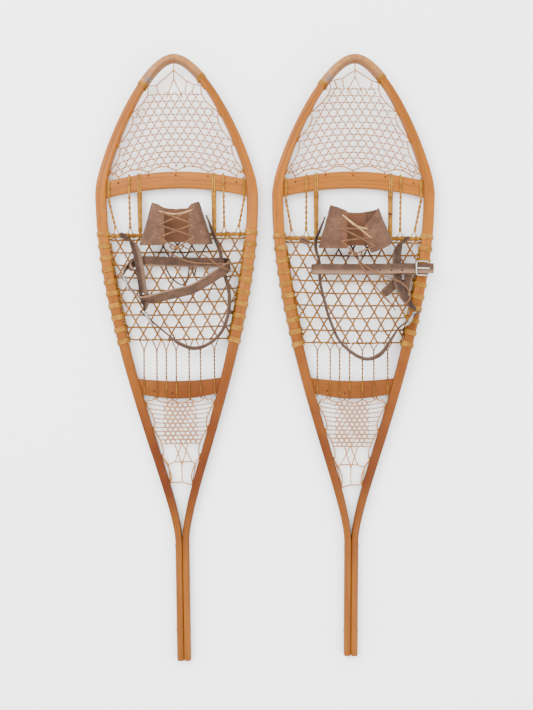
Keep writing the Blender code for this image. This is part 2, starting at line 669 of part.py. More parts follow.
class Binding:
    """Leather binding of one shoe; o runs outward from the shoe's centre line."""

    SOLE_Z = 0.0244
    PROFILE = ((0.0, 0.0), (0.40, 0.0), (0.72, 0.01), (0.92, 0.10), (1.0, 0.30), (0.99, 0.58), (0.90, 0.82),
               (0.72, 0.96))

    def __init__(self, shoe):
        """Set the hinge empty on the master cord."""
        self.shoe = shoe
        self.pivot = shoe.empty("binding", shoe.shoe, Vector((0, shoe.master, mid_height(MASTER_V))))

    def out(self, o, v, z):
        """Plan point from outward, along and up."""
        return Vector((self.shoe.side * o, v, z + BINDING_LIFT))

    def flip(self, vector):
        """Outward-based direction turned into a plan direction."""
        return Vector((self.shoe.side * vector[0], vector[1], vector[2]))

    def toe_point(self, spec, side, t, q):
        """Point on the middle of the toe piece's leather: t from sole to flap edge, q from front to back."""
        front = self.shoe.master + 0.051
        back = self.shoe.master - 0.015
        half = spec["front_half"] + (spec["back_half"] - spec["front_half"]) * q
        rise = spec["front_rise"] + (spec["back_rise"] - spec["front_rise"]) * q
        edge = spec["flap_edge"][0 if side < 0 else 1] / half
        profile = self.PROFILE + (((0.72 + edge) / 2, 1.0), (edge, spec["flap_drop"]))
        at = t * (len(profile) - 1)
        k = min(int(at), len(profile) - 2)
        f = at - k
        share = profile[k][0] + (profile[k + 1][0] - profile[k][0]) * f
        high = profile[k][1] + (profile[k + 1][1] - profile[k][1]) * f
        v = front - (0.009 * high * t) + (back - front) * q - 0.012 * t * q
        return Vector((side * half * share, v, self.SOLE_Z + rise * high))

    def build_toe_piece(self, spec):
        """Leather wrapped under the toe of the boot with two flaps laced over it."""
        steps = [k / 9 for k in range(10)]
        rows = []
        for q in (0.0, 0.33, 0.66, 1.0):
            left = [self.toe_point(spec, -1, t, q) for t in steps[:0:-1]]
            rows.append(left + [self.toe_point(spec, 1, t, q) for t in steps])
        bm = bmesh.new()
        layers = []
        for sign in (-1, 1):
            layer = []
            for i, row in enumerate(rows):
                line = []
                for j, p in enumerate(row):
                    dj = row[min(j + 1, len(row) - 1)] - row[max(j - 1, 0)]
                    di = rows[min(i + 1, 3)][j] - rows[max(i - 1, 0)][j]
                    normal = di.cross(dj).normalized()
                    line.append(bm.verts.new(p + normal * sign * LEATHER / 2))
                layer.append(line)
            layers.append(layer)
        a, b = layers
        last = len(rows[0]) - 1
        for i in range(3):
            for j in range(last):
                for layer in layers:
                    bm.faces.new((layer[i][j], layer[i + 1][j], layer[i + 1][j + 1], layer[i][j + 1]))
            for j in (0, last):
                bm.faces.new((a[i][j], a[i + 1][j], b[i + 1][j], b[i][j]))
        for i in (0, 3):
            for j in range(last):
                bm.faces.new((a[i][j], a[i][j + 1], b[i][j + 1], b[i][j]))
        self.shoe.add("toe_piece", bm, "suede_leather", self.pivot)

    def eyelet(self, spec, side, q):
        """Point just above a lacing hole."""
        return self.toe_point(spec, side, 0.93, q) + Vector((0, 0, LEATHER / 2 + 0.0020))

    def build_lace(self, spec):
        """Thong laced to and fro between the two flaps."""
        rows = (0.15, 0.48, 0.80)
        left = [self.eyelet(spec, -1, q) for q in rows]
        right = [self.eyelet(spec, 1, q) for q in rows]
        route = [left[0], right[0], right[1], left[1], left[2], right[2]]
        thong = skin_rings(bmesh.new(), tube_rings(route, THONG_R))
        self.shoe.add("toe_lace", thong, "lace_thong", self.pivot)

    def build_tails(self, routes):
        """Two free ends of the lace."""
        for name, route in routes.items():
            points = smooth([self.out(*p) for p in route], 3)
            thong = skin_rings(bmesh.new(), tube_rings(points, THONG_R, 5))
            self.shoe.add(f"lace_tail_{name}", thong, "lace_thong", self.pivot)

    def build_loops(self):
        """Leather loops that turn on the master cord."""
        z = mid_height(MASTER_V)
        for name, side in (("outer", self.shoe.side), ("inner", -self.shoe.side)):
            bm = bmesh.new()
            grids = []
            for radius in (LOOP_R, LOOP_R + 0.0024):
                grid = []
                for u in (0.052, 0.064):
                    angles = [2 * math.pi * (a + 0.5) / 10 for a in range(10)]
                    v = self.shoe.master
                    grid.append([Vector((side * u, v + radius * math.cos(a), z + radius * math.sin(a)))
                                 for a in angles])
                grids.append(grid)
            shell(bm, grids[0], grids[1], lambda i, j: True)
            self.shoe.add(f"anchor_loop_{name}", bm, "strap_leather", self.pivot)

    def strap(self, name, stops, width, cuts=()):
        """Strap through outward-based stops, with slots or holes cut where asked."""
        placed = [(self.out(*p), self.flip(w)) for p, w in stops]
        rings = strap_rings(strap_frames(placed), width, STRAP_THICK)
        obj = self.shoe.add(name, skin_rings(bmesh.new(), rings), "strap_leather", self.pivot)
        if cuts:
            cutter = bmesh.new()
            for centre, x_axis, y_axis, z_axis, sizes in cuts:
                prism(cutter, centre, x_axis, y_axis, z_axis, sizes)
            self.shoe.boolean(obj, cutter, "DIFFERENCE")
        return obj

    def buckle_axes(self, centre, run, wide, face):
        """Axes of a buckle on a straight run: across to its front bar, along its bars, out of its face."""
        run = self.flip(run).normalized()
        wide = self.flip(wide)
        wide = (wide - run * wide.dot(run)).normalized()
        out = run.cross(wide) * face * self.shoe.side
        tilt = math.radians(17.5)
        x = out * math.sin(tilt) - run * math.cos(tilt)
        z = out * math.cos(tilt) + run * math.sin(tilt)
        return self.out(*centre), x, z.cross(x), z, run, wide, out

    def build_buckle(self, name, axes):
        """Wire buckle and its prong, the prong under an empty on the heel bar."""
        centre, x, y, z = axes[:4]
        a, b, r = BUCKLE_LONG / 2, BUCKLE_WIDE / 2, 0.004
        corners = ((a - r, b), (a, b - r), (a, -b + r), (a - r, -b), (-a + r, -b), (-a, -b + r), (-a, b - r),
                   (-a + r, b))
        loop = [centre + x * p + y * q for p, q in corners]
        rings = []
        for i, p in enumerate(loop):
            run = (loop[(i + 1) % 8] - loop[i - 1]).normalized()
            side = z.cross(run)
            rings.append([p + (side * math.cos(t) + z * math.sin(t)) * BAR_R
                          for t in (math.pi * k / 3 for k in range(6))])
        self.shoe.add(f"{name}_buckle", skin_rings(bmesh.new(), rings, True), "nickel_steel", self.pivot)
        bar = centre - x * a
        hinge = self.shoe.empty(f"{name}_prong", self.pivot, bar)
        radius = BAR_R + FIT + PRONG_THICK / 2
        path = [bar + (x * math.cos(t) + z * math.sin(t)) * radius
                for t in (math.radians(d) for d in (-30, -75, -120, -165, -210, -250, -270))]
        path += [bar + x * d + z * radius for d in (0.008, 0.018, BUCKLE_LONG + 0.0014)]
        rings = []
        for i, p in enumerate(path):
            run = (path[min(i + 1, len(path) - 1)] - path[max(i - 1, 0)]).normalized()
            face = run.cross(y).normalized() * (PRONG_THICK / 2)
            w = y * (PRONG_WIDE / 2)
            rings.append([p - w - face, p + w - face, p + w + face, p - w + face])
        self.shoe.add(f"{name}_prong", skin_rings(bmesh.new(), rings), "nickel_steel", hinge)

    def slot(self, axes):
        """Cut for the prong where the strap passes over the heel bar."""
        centre, _, _, _, run, wide, out = axes
        return (centre + run * (BUCKLE_LONG / 2 - 0.0045), run, wide, out, (0.0185, 0.0048, 0.012))

    def partner_end(self, axes):
        """Where the other strap stops, beside the heel bar, in outward-based numbers."""
        centre, _, _, _, run, _, out = axes
        p = centre + run * 0.0200 - out * 0.0085
        return (self.shoe.side * p.x, p.y, p.z - BINDING_LIFT)


def run_stops(centre, run, wide, distances):
    """Stops on a straight line through centre."""
    direction = Vector(run).normalized()
    return [(tuple(Vector(centre) + direction * d), wide) for d in distances]


LEFT_SPEC = {"front_half": 0.046, "back_half": 0.072, "front_rise": 0.046, "back_rise": 0.040,
             "flap_edge": (0.021, 0.030), "flap_drop": 1.0}
RIGHT_SPEC = {"front_half": 0.047, "back_half": 0.070, "front_rise": 0.044, "back_rise": 0.036,
              "flap_edge": (0.010, 0.014), "flap_drop": 0.93}

LEFT_TAILS = {
    "long": ((0.020, 0.829, 0.056), (0.000, 0.815, 0.052), (-0.030, 0.803, 0.051), (-0.065, 0.800, 0.052),
             (-0.096, 0.7985, 0.054), (-0.120, 0.802, 0.046), (-0.136, 0.807, 0.036)),
    "short": ((-0.014, 0.834, 0.057), (-0.035, 0.824, 0.057), (-0.060, 0.813, 0.057), (-0.085, 0.795, 0.0565),
              (-0.114, 0.782, 0.044)),
}
RIGHT_TAILS = {
    "long": ((0.000, 0.815, 0.052), (0.026, 0.793, 0.0505), (0.060, 0.777, 0.049), (0.091, 0.765, 0.048),
             (0.109, 0.746, 0.053), (0.107, 0.728, 0.063), (0.090, 0.716, 0.058), (0.072, 0.722, 0.054),
             (0.058, 0.736, 0.052)),
    "short": ((0.006, 0.805, 0.058), (0.022, 0.783, 0.057), (0.037, 0.762, 0.050), (0.052, 0.745, 0.044),
              (0.070, 0.727, 0.042), (0.084, 0.708, 0.036)),
}
UPRIGHT = (0, 0, 1)


def left_binding(shoe):
    """Binding left standing open: instep strap looped wide, heel strap bowed."""
    binding = Binding(shoe)
    binding.build_toe_piece(LEFT_SPEC)
    binding.build_lace(LEFT_SPEC)
    binding.build_tails(LEFT_TAILS)
    binding.build_loops()
    run = (0.61, 0.79, 0)
    centre = (0.101, 0.765, 0.034)
    axes = binding.buckle_axes(centre, run, UPRIGHT, 1)
    stops = [(binding.partner_end(axes), UPRIGHT), ((0.101, 0.796, 0.030), (0, 0.3, 1)),
             ((0.088, 0.806, 0.024), (0, 0.85, 0.5)),
             ((0.065, 0.810, 0.0192), (0, 1, 0.05)), ((0.025, 0.808, 0.0190), (0, 1, 0)),
             ((-0.020, 0.806, 0.0190), (0, 1, 0)),
             ((-0.065, 0.805, 0.0190), (0, 1, 0)), ((-0.093, 0.804, 0.0198), (0, 1, 0)),
             ((-0.1035, 0.801, 0.0265), (0, 1, 0)),
             ((-0.105, 0.797, 0.035), (0, 1, 0)), ((-0.100, 0.791, 0.0435), (0, 1, 0.05)),
             ((-0.086, 0.782, 0.0475), (0.1, 1, 0.05)),
             ((-0.062, 0.767, 0.0475), (0.2, 1, 0.1)), ((-0.030, 0.750, 0.047), (0.1, 1, 0.1)),
             ((0.010, 0.741, 0.0455), (0, 1, 0.15)), ((0.042, 0.734, 0.043), (0, 0.9, 0.5)),
             ((0.066, 0.7325, 0.038), (0, 0.4, 1))]
    stops += run_stops(centre, run, UPRIGHT, (-0.030, -0.015, 0, 0.015, 0.0225))
    binding.strap("instep_strap", stops, INSTEP_WIDTH, [binding.slot(axes)])
    binding.build_buckle("instep", axes)
    run = (0.75, 0.66, 0)
    centre = (0.058, 0.6936, 0.033)
    axes = binding.buckle_axes(centre, run, UPRIGHT, 1)
    lean = 0.35
    stops = [((-0.060, 0.898, 0.038), (0, 0, 1)), ((-0.068, 0.876, 0.036), (-lean / 2, 0, 1)),
             ((-0.0775, 0.850, 0.034), (-lean, 0, 1)),
             ((-0.0865, 0.824, 0.0325), (-lean, 0, 1)), ((-0.089, 0.806, 0.0315), (-lean, 0, 1)),
             ((-0.091, 0.793, 0.0315), (-lean, 0, 1)),
             ((-0.097, 0.770, 0.030), (-lean, 0, 1)), ((-0.102, 0.748, 0.029), (-lean, 0, 1)),
             ((-0.103, 0.725, 0.028), (-lean, 0, 1)),
             ((-0.099, 0.695, 0.028), (-lean, 0, 1)), ((-0.085, 0.663, 0.028), (-lean * 0.8, -lean * 0.4, 1)),
             ((-0.060, 0.641, 0.028), (-lean * 0.4, -lean * 0.8, 1)), ((-0.031, 0.633, 0.028), (0, -lean, 1)),
             ((-0.003, 0.6425, 0.0285), (lean * 0.4, -lean * 0.6, 1)), ((0.016, 0.6570, 0.029), (0, 0, 1))]
    stops += run_stops(centre, run, UPRIGHT, (-0.030, -0.015, 0, 0.015, 0.0225))
    binding.strap("heel_strap", stops, HEEL_WIDTH, [binding.slot(axes)])
    stops = [((0.115, 0.864, 0.031), (0, 0.6, 0.8)), ((0.103, 0.857, 0.030), (0.2, 0.6, 0.8)),
             ((0.092, 0.848, 0.030), (0.6, 0.4, 0.7)),
             ((0.0845, 0.836, 0.031), (0.9, 0.2, 0.5)), ((0.080, 0.822, 0.0315), (1, 0, 0.3)),
             ((0.077, 0.806, 0.0315), (1, 0, 0.3)),
             ((0.074, 0.785, 0.027), (1, 0, 0.3)), ((0.072, 0.763, 0.0215), (1, 0, 0.15)),
             ((0.070, 0.744, 0.0205), (1, 0, 0.1)),
             ((0.068, 0.731, 0.0210), (1, 0, 0.2)),
             ((0.067, 0.7225, 0.0265), (0.8, 0.2, 0.8)), (binding.partner_end(axes), UPRIGHT)]
    binding.strap("heel_billet", stops, 0.017)
    binding.build_buckle("heel", axes)


def right_binding(shoe):
    """Binding with its instep strap buckled flat across and its heel strap let out further."""
    binding = Binding(shoe)
    binding.build_toe_piece(RIGHT_SPEC)
    binding.build_lace(RIGHT_SPEC)
    binding.build_tails(RIGHT_TAILS)
    binding.build_loops()
    stops = [((-0.0885, 0.843, 0.027), (0, 0.6, 0.8)), ((-0.098, 0.848, 0.028), (0, 0.6, 0.8)),
             ((-0.108, 0.853, 0.030), (0, 0.6, 0.8))]
    binding.strap("anchor_tab", stops, 0.014)
    flat = (0, 1, 0)
    run = (1, 0, 0)
    centre = (0.136, 0.793, 0.0445)
    axes = binding.buckle_axes(centre, run, flat, 1)
    stops = [((0.156, 0.792, 0.0350), flat), ((0.146, 0.792, 0.0338), flat), ((0.133, 0.791, 0.0332), flat),
             ((0.123, 0.791, 0.0322), flat), ((0.108, 0.791, 0.0255), flat), ((0.092, 0.791, 0.0200), flat),
             ((0.070, 0.791, 0.0190), flat), ((0.030, 0.791, 0.0190), flat),
             ((-0.030, 0.791, 0.0190), flat), ((-0.064, 0.791, 0.0190), flat),
             ((-0.078, 0.791, 0.0215), flat),
             ((-0.084, 0.791, 0.0305), flat), ((-0.078, 0.791, 0.040), flat), ((-0.060, 0.791, 0.0430), flat),
             ((0.0, 0.791, 0.0435), flat), ((0.070, 0.792, 0.0445), flat), ((0.100, 0.793, 0.0445), flat)]
    stops += run_stops(centre, run, flat, (-0.020, -0.010, 0, 0.010, 0.0225))
    binding.strap("instep_strap", stops, INSTEP_WIDTH, [binding.slot(axes)])
    binding.build_buckle("instep", axes)
    run = (0.68, 0.58, 0.45)
    centre = (0.113, 0.692, 0.047)
    axes = binding.buckle_axes(centre, run, UPRIGHT, 1)
    lean = 0.3
    stops = [((-0.058, 0.896, 0.038), (0, 0, 1)), ((-0.066, 0.876, 0.035), (-lean / 2, 0, 1)),
             ((-0.0765, 0.850, 0.033), (-lean, 0, 1)),
             ((-0.076, 0.830, 0.032), (-lean, 0, 1)), ((-0.070, 0.810, 0.031), (-lean, 0, 1)),
             ((-0.068, 0.791, 0.031), (-lean, 0, 1)),
             ((-0.068, 0.770, 0.030), (-lean, 0, 1)), ((-0.064, 0.750, 0.029), (-lean, 0, 1)),
             ((-0.058, 0.727, 0.028), (-lean, 0, 1)),
             ((-0.049, 0.695, 0.028), (-lean, 0, 1)), ((-0.028, 0.648, 0.0285), (-lean, 0, 1)),
             ((0.003, 0.620, 0.031), (-lean / 2, -lean, 1)), ((0.030, 0.611, 0.0315), (0, -lean, 1)),
             ((0.056, 0.622, 0.031), (lean / 2, -lean, 1)), ((0.074, 0.647, 0.030), (lean / 2, 0, 1))]
    stops += run_stops(centre, run, UPRIGHT, (-0.032, -0.016, 0, 0.016, 0.0225))
    binding.strap("heel_strap", stops, HEEL_WIDTH, [binding.slot(axes)])
    stops = [((0.112, 0.856, 0.031), (0, 0.6, 0.8)), ((0.102, 0.850, 0.030), (0.2, 0.6, 0.8)),
             ((0.0935, 0.842, 0.030), (0.6, 0.4, 0.7)),
             ((0.0885, 0.831, 0.031), (0.9, 0.2, 0.5)), ((0.0865, 0.818, 0.031), (1, 0, 0.3)),
             ((0.087, 0.796, 0.0305), (1, 0, 0.2)),
             ((0.090, 0.768, 0.028), (1, 0, 0.2)), ((0.098, 0.742, 0.035), (1, 0, 0.4)),
             ((0.109, 0.7235, 0.049), (0.6, 0.3, 0.9)),
             (binding.partner_end(axes), UPRIGHT)]
    binding.strap("heel_billet", stops, 0.017)
    binding.build_buckle("heel", axes)


def build_shoe(name):
    """One whole snowshoe."""
    shoe = Builder(name)
    build_frame(shoe)
    build_bar(shoe, "front_crossbar", FRONT_BAR)
    build_bar(shoe, "rear_crossbar", REAR_BAR)
    build_tip(shoe)
    build_nets(shoe)
    build_master(shoe)
    build_web(shoe)
    build_toe_cords(shoe)
    build_rail_lashings(shoe)
    build_rivets(shoe)
    (left_binding if name == "left" else right_binding)(shoe)


def centre_pair():
    """Slide both shoes so the pair's box stands centred over the origin."""
    bpy.context.view_layer.update()
    meshes = [obj for obj in bpy.data.objects if obj.type == "MESH"]
    corners = [obj.matrix_world @ vert.co for obj in meshes for vert in obj.data.vertices]
    for axis in (0, 1):
        low = min(p[axis] for p in corners)
        high = max(p[axis] for p in corners)
        for name in SHOES:
            bpy.data.objects[f"{name}_shoe_axis"].location[axis] -= (low + high) / 2


def main():
    """Clear the startup objects and build both shoes."""
    for obj in list(bpy.data.objects):
        bpy.data.objects.remove(obj)
    for name in SHOES:
        build_shoe(name)
    centre_pair()


main()
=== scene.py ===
"""Pair of bent-ash snowshoes with rawhide lacing and leather bindings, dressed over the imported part.

Each shoe is drawn in its own flat plan: u runs across, v from the tail end to the tip, z up. A ShoePlan
carries plan points into the shared frame, so every piece lies where the part's own solids are.
"""

from __future__ import annotations

import json
import logging
import math
from dataclasses import dataclass, field
from enum import Enum
from typing import Callable, Iterable, Optional, Sequence

import bpy
from mathutils import Matrix, Vector, noise

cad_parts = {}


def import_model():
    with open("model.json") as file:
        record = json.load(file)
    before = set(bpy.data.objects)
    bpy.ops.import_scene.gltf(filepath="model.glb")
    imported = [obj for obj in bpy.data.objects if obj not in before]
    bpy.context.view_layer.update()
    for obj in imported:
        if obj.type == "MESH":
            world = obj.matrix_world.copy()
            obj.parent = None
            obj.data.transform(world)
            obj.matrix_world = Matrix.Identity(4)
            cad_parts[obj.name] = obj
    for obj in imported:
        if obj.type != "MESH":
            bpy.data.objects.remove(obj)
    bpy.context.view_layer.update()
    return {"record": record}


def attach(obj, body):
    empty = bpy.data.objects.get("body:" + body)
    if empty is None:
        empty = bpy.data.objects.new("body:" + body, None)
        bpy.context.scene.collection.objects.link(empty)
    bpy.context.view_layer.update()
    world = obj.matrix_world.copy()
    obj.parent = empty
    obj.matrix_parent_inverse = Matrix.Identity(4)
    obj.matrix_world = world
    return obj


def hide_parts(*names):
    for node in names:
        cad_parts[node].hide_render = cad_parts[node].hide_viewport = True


LOG = logging.getLogger("snowshoes")
Table = Sequence[tuple[float, float]]
Route = Sequence[Vector]
Triple = tuple[float, float, float]
RIGHT_TRIM = 0.010
RIGHT_WEB_SHIFT = -0.007
BUCKLE_TILT = 17.5


class Foot(Enum):
    """Which of the pair a shoe is, with the side of the pair that it lies on."""

    LEFT = ("left", -1)
    RIGHT = ("right", 1)

    @property
    def side(self) -> int:
        """Sign of the pair's side."""
        return self.value[1]

    def named(self, piece: str) -> str:
        """Full name of one of this shoe's pieces."""
        return f"{self.value[0]}_{piece}"


class Slot(Enum):
    """Material slots of the record."""

    ASH = "ash"
    COVER = "rawhide_cover"
    LACING = "rawhide_lacing"
    CORD = "rawhide_cord"
    SUEDE = "suede"
    THONG = "thong"
    STRAP = "strap_leather"
    STEEL = "steel"


# ---------------------------------------------------------------- drawing helpers


def along(table: Table, at: float) -> float:
    """Read a table of pairs at a place, straight between its rows.

    Args:
        table: Rows of (place, value) in rising order.
        at: Place to read.

    Returns:
        The value there.
    """
    if at <= table[0][0]:
        return table[0][1]
    for (v0, a), (v1, b) in zip(table, table[1:]):
        if at <= v1:
            return a + (b - a) * (at - v0) / (v1 - v0)
    return table[-1][1]


def smooth(points: Route, per: int = 3) -> list[Vector]:
    """Curve that passes through every point.

    Args:
        points: Points to pass through.
        per: Steps between one point and the next.

    Returns:
        Points along the curve, the given ones among them.
    """
    padded = [points[0] * 2 - points[1]] + list(points) + [points[-1] * 2 - points[-2]]
    found = []
    for a, b, c, d in zip(padded, padded[1:], padded[2:], padded[3:]):
        for k in range(per):
            t = k / per
            linear = 2 * b + (c - a) * t
            square = (2 * a - 5 * b + 4 * c - d) * t * t
            cube = (3 * b - a - 3 * c + d) * t ** 3
            found.append(0.5 * (linear + square + cube))
    return found + [points[-1].copy()]


def evenly(points: Route, step: float) -> list[Vector]:
    """Points at equal steps along a polyline.

    Args:
        points: Corners of the polyline.
        step: Longest step wanted.

    Returns:
        The polyline's points, its two ends kept.
    """
    runs = [(b - a).length for a, b in zip(points, points[1:])]
    total = sum(runs)
    count = max(2, math.ceil(total / step))
    found = [points[0].copy()]
    k = 0
    passed = 0.0
    for n in range(1, count):
        want = total * n / count
        while k < len(runs) - 1 and passed + runs[k] < want:
            passed += runs[k]
            k += 1
        found.append(points[k].lerp(points[k + 1], (want - passed) / max(runs[k], 1e-9)))
    return found + [points[-1].copy()]


def rounded_section(half_wide: float, half_thick: float, radius: float,
                    arc: int = 3) -> list[tuple[float, float]]:
    """Outline of a bar with rounded corners, counter-clockwise from the middle of its lower face.

    Args:
        half_wide: Half the width.
        half_thick: Half the thickness.
        radius: Corner radius.
        arc: Steps round each corner.

    Returns:
        Pairs of (across, up).
    """
    r = min(radius, half_wide * 0.98, half_thick * 0.98)
    centres = ((half_wide - r, -half_thick + r, -90), (half_wide - r, half_thick - r, 0),
               (-half_wide + r, half_thick - r, 90), (-half_wide + r, -half_thick + r, 180))
    found = [(0.0, -half_thick)]
    for index, (x, y, start) in enumerate(centres):
        for k in range(arc + 1):
            angle = math.radians(start + 90 * k / arc)
            found.append((x + r * math.cos(angle), y + r * math.sin(angle)))
        if index == 1:
            found.append((0.0, half_thick))
    return found


def round_section(radius: float, sides: int, flat: float = 1.0) -> list[tuple[float, float]]:
    """Outline of a round or flattened strand.

    Args:
        radius: Half its width.
        sides: Number of corners.
        flat: Thickness as a share of the width.

    Returns:
        Pairs of (across, up).
    """
    return [(radius * math.cos(2 * math.pi * k / sides), radius * flat * math.sin(2 * math.pi * k / sides))
            for k in range(sides)]


def rough(point: Vector, scale: float) -> float:
    """Smooth unevenness at a point, from -1 to 1, with lumps of about the given size."""
    return noise.noise(point / scale)


@dataclass
class Stock:
    """Material of one piece while it is being made, in the shared frame."""

    verts: list[Vector] = field(default_factory=list)
    faces: list[tuple[int, ...]] = field(default_factory=list)
    grain: list[tuple[tuple[float, float], ...]] = field(default_factory=list)

    def loft(self, rings: Sequence[Route], closed: bool = False, caps: bool = True,
             runs: Optional[Sequence[float]] = None, whole: bool = True) -> None:
        """Skin equal-length rings, with the grain running from ring to ring.

        Args:
            rings: Sections in order.
            closed: Join the last ring to the first.
            caps: Fill the two end sections.
            runs: Grain length at each ring, worked out when left out.
            whole: Each section closes on itself.
        """
        base = len(self.verts)
        size = len(rings[0])
        if runs is None:
            runs = [0.0]
            for a, b in zip(rings, rings[1:]):
                runs.append(runs[-1] + (b[0] - a[0]).length * 0.5 + (b[size // 2] - a[size // 2]).length
                            * 0.5)
        girth = [0.0]
        for k in range(size):
            girth.append(girth[-1] + (rings[0][(k + 1) % size] - rings[0][k]).length)
        for ring in rings:
            self.verts.extend(ring)
        pairs = [(i, i + 1) for i in range(len(rings) - 1)]
        if closed:
            pairs.append((len(rings) - 1, 0))
        for i, j in pairs:
            far = runs[j] if j > i else runs[i] + (runs[1] - runs[0])
            for k in range(size if whole else size - 1):
                m = (k + 1) % size
                self.faces.append((base + i * size + k, base + i * size + m, base + j * size + m,
                                   base + j * size + k))
                self.grain.append(((runs[i], girth[k]), (runs[i], girth[k + 1]), (far, girth[k + 1]),
                                   (far, girth[k])))
        if caps and not closed and whole:
            for i, order in ((0, range(size - 1, -1, -1)), (len(rings) - 1, range(size))):
                self.faces.append(tuple(base + i * size + k for k in order))
                self.grain.append(tuple((runs[i] + 0.001 * k, girth[k]) for k in order))

    def strand(self, points: Route, section: Sequence[tuple[float, float]], up: Optional[Route] = None,
               twist: float = 0.0, ease: int = 2, swell: float = 0.0,
               phase: Optional[Sequence[float]] = None,
               closed: bool = False) -> None:
        """Run a strand of the given section along a line.

        Args:
            points: Line that the strand follows.
            section: Pairs of (across, up) round the strand.
            up: Direction of the section's thickness at each point, or one for all.
            twist: Turns for each metre.
            ease: Rings that taper each end.
            swell: Unevenness as a share of the size.
            phase: Grain length at each point.
            closed: The line closes on itself.
        """
        last = len(points) - 1
        rings = []
        side = None
        turned = 0.0
        for i, p in enumerate(points):
            ahead = points[(i + 1) % len(points)] if closed else points[min(i + 1, last)]
            behind = points[i - 1] if closed else points[max(i - 1, 0)]
            run = (ahead - behind).normalized()
            if up is not None:
                side = run.cross(up[min(i, len(up) - 1)])
            elif side is None:
                side = run.orthogonal()
            side = (side - run * side.dot(run)).normalized()
            lifted = side.cross(run)
            if i:
                turned += (p - points[i - 1]).length * twist * 2 * math.pi
            ct, st = math.cos(turned), math.sin(turned)
            size = 1.0 + swell * rough(p, 0.004) if swell else 1.0
            near = min(i, last - i)
            if not closed and near < ease:
                size *= 0.55 + 0.45 * near / ease
            rings.append([p + side * ((x * ct - y * st) * size) + lifted * ((x * st + y * ct) * size)
                          for x, y in section])
        self.loft(rings, closed=closed, runs=phase)

    def plied(self, points: Route, radius: float, plies: int, turns: float, sides: int = 6,
              core: float = 0.0) -> None:
        """Lay a cord from strands that wind round each other.

        Args:
            points: Middle of the cord, at even steps.
            radius: Outer radius of the cord.
            plies: Number of strands.
            turns: Turns for each metre.
            sides: Corners of each strand's section.
            core: Radius of a straight core, or nothing.
        """
        strand_r = radius / (1 + 1 / math.sin(math.pi / plies)) if plies > 1 else radius
        strand_r = max(strand_r, radius * 0.30)
        orbit = radius - strand_r
        frames = []
        side = None
        for i, p in enumerate(points):
            run = (points[min(i + 1, len(points) - 1)] - points[max(i - 1, 0)]).normalized()
            side = run.orthogonal() if side is None else side
            side = (side - run * side.dot(run)).normalized()
            frames.append((p, side, run.cross(side)))
        lengths = [0.0]
        for a, b in zip(points, points[1:]):
            lengths.append(lengths[-1] + (b - a).length)
        section = round_section(strand_r * 1.06, sides)
        for n in range(plies):
            angle = 2 * math.pi * n / plies
            path = [p + (x * math.cos(angle + s * turns * 2 * math.pi) + y
                         * math.sin(angle + s * turns * 2 * math.pi))
                    * orbit for (p, x, y), s in zip(frames, lengths)]
            self.strand(path, section, swell=0.08)
        if core:
            self.strand(points, round_section(core, sides))

    def lump(self, centre: Vector, radius: float, flat: float = 0.8) -> None:
        """Small knot of hide.

        Args:
            centre: Middle of the knot.
            radius: Its radius.
            flat: Height as a share of its width.
        """
        rows = []
        for lift, wide in ((-0.95, 0.32), (-0.6, 0.8), (0.0, 1.04), (0.6, 0.8), (0.95, 0.32)):
            ring = []
            for k in range(7):
                angle = 2 * math.pi * k / 7 + lift
                spot = Vector((math.cos(angle) * wide, math.sin(angle) * wide, lift * flat)) * radius
                ring.append(centre + spot * (1 + 0.14 * rough(centre + spot, 0.0013)))
            rows.append(ring)
        self.loft(rows)

    def ball(self, centre: Vector, radius: float, squash: float = 1.0) -> None:
        """Rounded bulb, finer than a knot.

        Args:
            centre: Middle of the bulb.
            radius: Its radius.
            squash: Its height as a share of its width.
        """
        rows = []
        for step in range(1, 10):
            tilt = math.pi * step / 10 - math.pi / 2
            rows.append([centre + Vector((math.cos(tilt) * math.cos(a) * radius,
                                          math.cos(tilt) * math.sin(a) * radius,
                                          math.sin(tilt) * radius * squash))
                         for a in (2 * math.pi * k / 14 for k in range(14))])
        self.loft(rows)

    def mesh(self, name: str) -> bpy.types.Mesh:
        """Turn the stock into a mesh.

        Args:
            name: Name of the mesh.

        Returns:
            A smooth-shaded mesh whose map called grain runs along the material.
        """
        made = bpy.data.meshes.new(name)
        made.from_pydata([tuple(v) for v in self.verts], [], self.faces)
        layer = made.uv_layers.new(name="grain")
        layer.data.foreach_set("uv", [c for face in self.grain for pair in face for c in pair])
        made.polygons.foreach_set("use_smooth", [True] * len(made.polygons))
        made.update()
        return made


def place(name: str, mesh: bpy.types.Mesh, finish: bpy.types.Material, body: str,
          stands_for: Iterable[str] = (), crease: float = 0.0) -> bpy.types.Object:
    """Set a finished mesh in the scene on its body.

    Args:
        name: Piece name.
        mesh: Its mesh in the shared frame.
        finish: Material to dress it with.
        body: Body that it moves with.
        stands_for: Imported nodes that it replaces.
        crease: Angle in degrees above which an edge is sharp, or nothing.

    Returns:
        The piece.
    """
    obj = bpy.data.objects.new(name, mesh)
    bpy.context.scene.collection.objects.link(obj)
    if crease:
        mesh.set_sharp_from_angle(angle=math.radians(crease))
    mesh.materials.clear()
    mesh.materials.append(finish)
    nodes = list(stands_for)
    if nodes:
        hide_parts(*nodes)
    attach(obj, body)
    LOG.info("%s: %d faces on %s", name, len(mesh.polygons), body)
    return obj


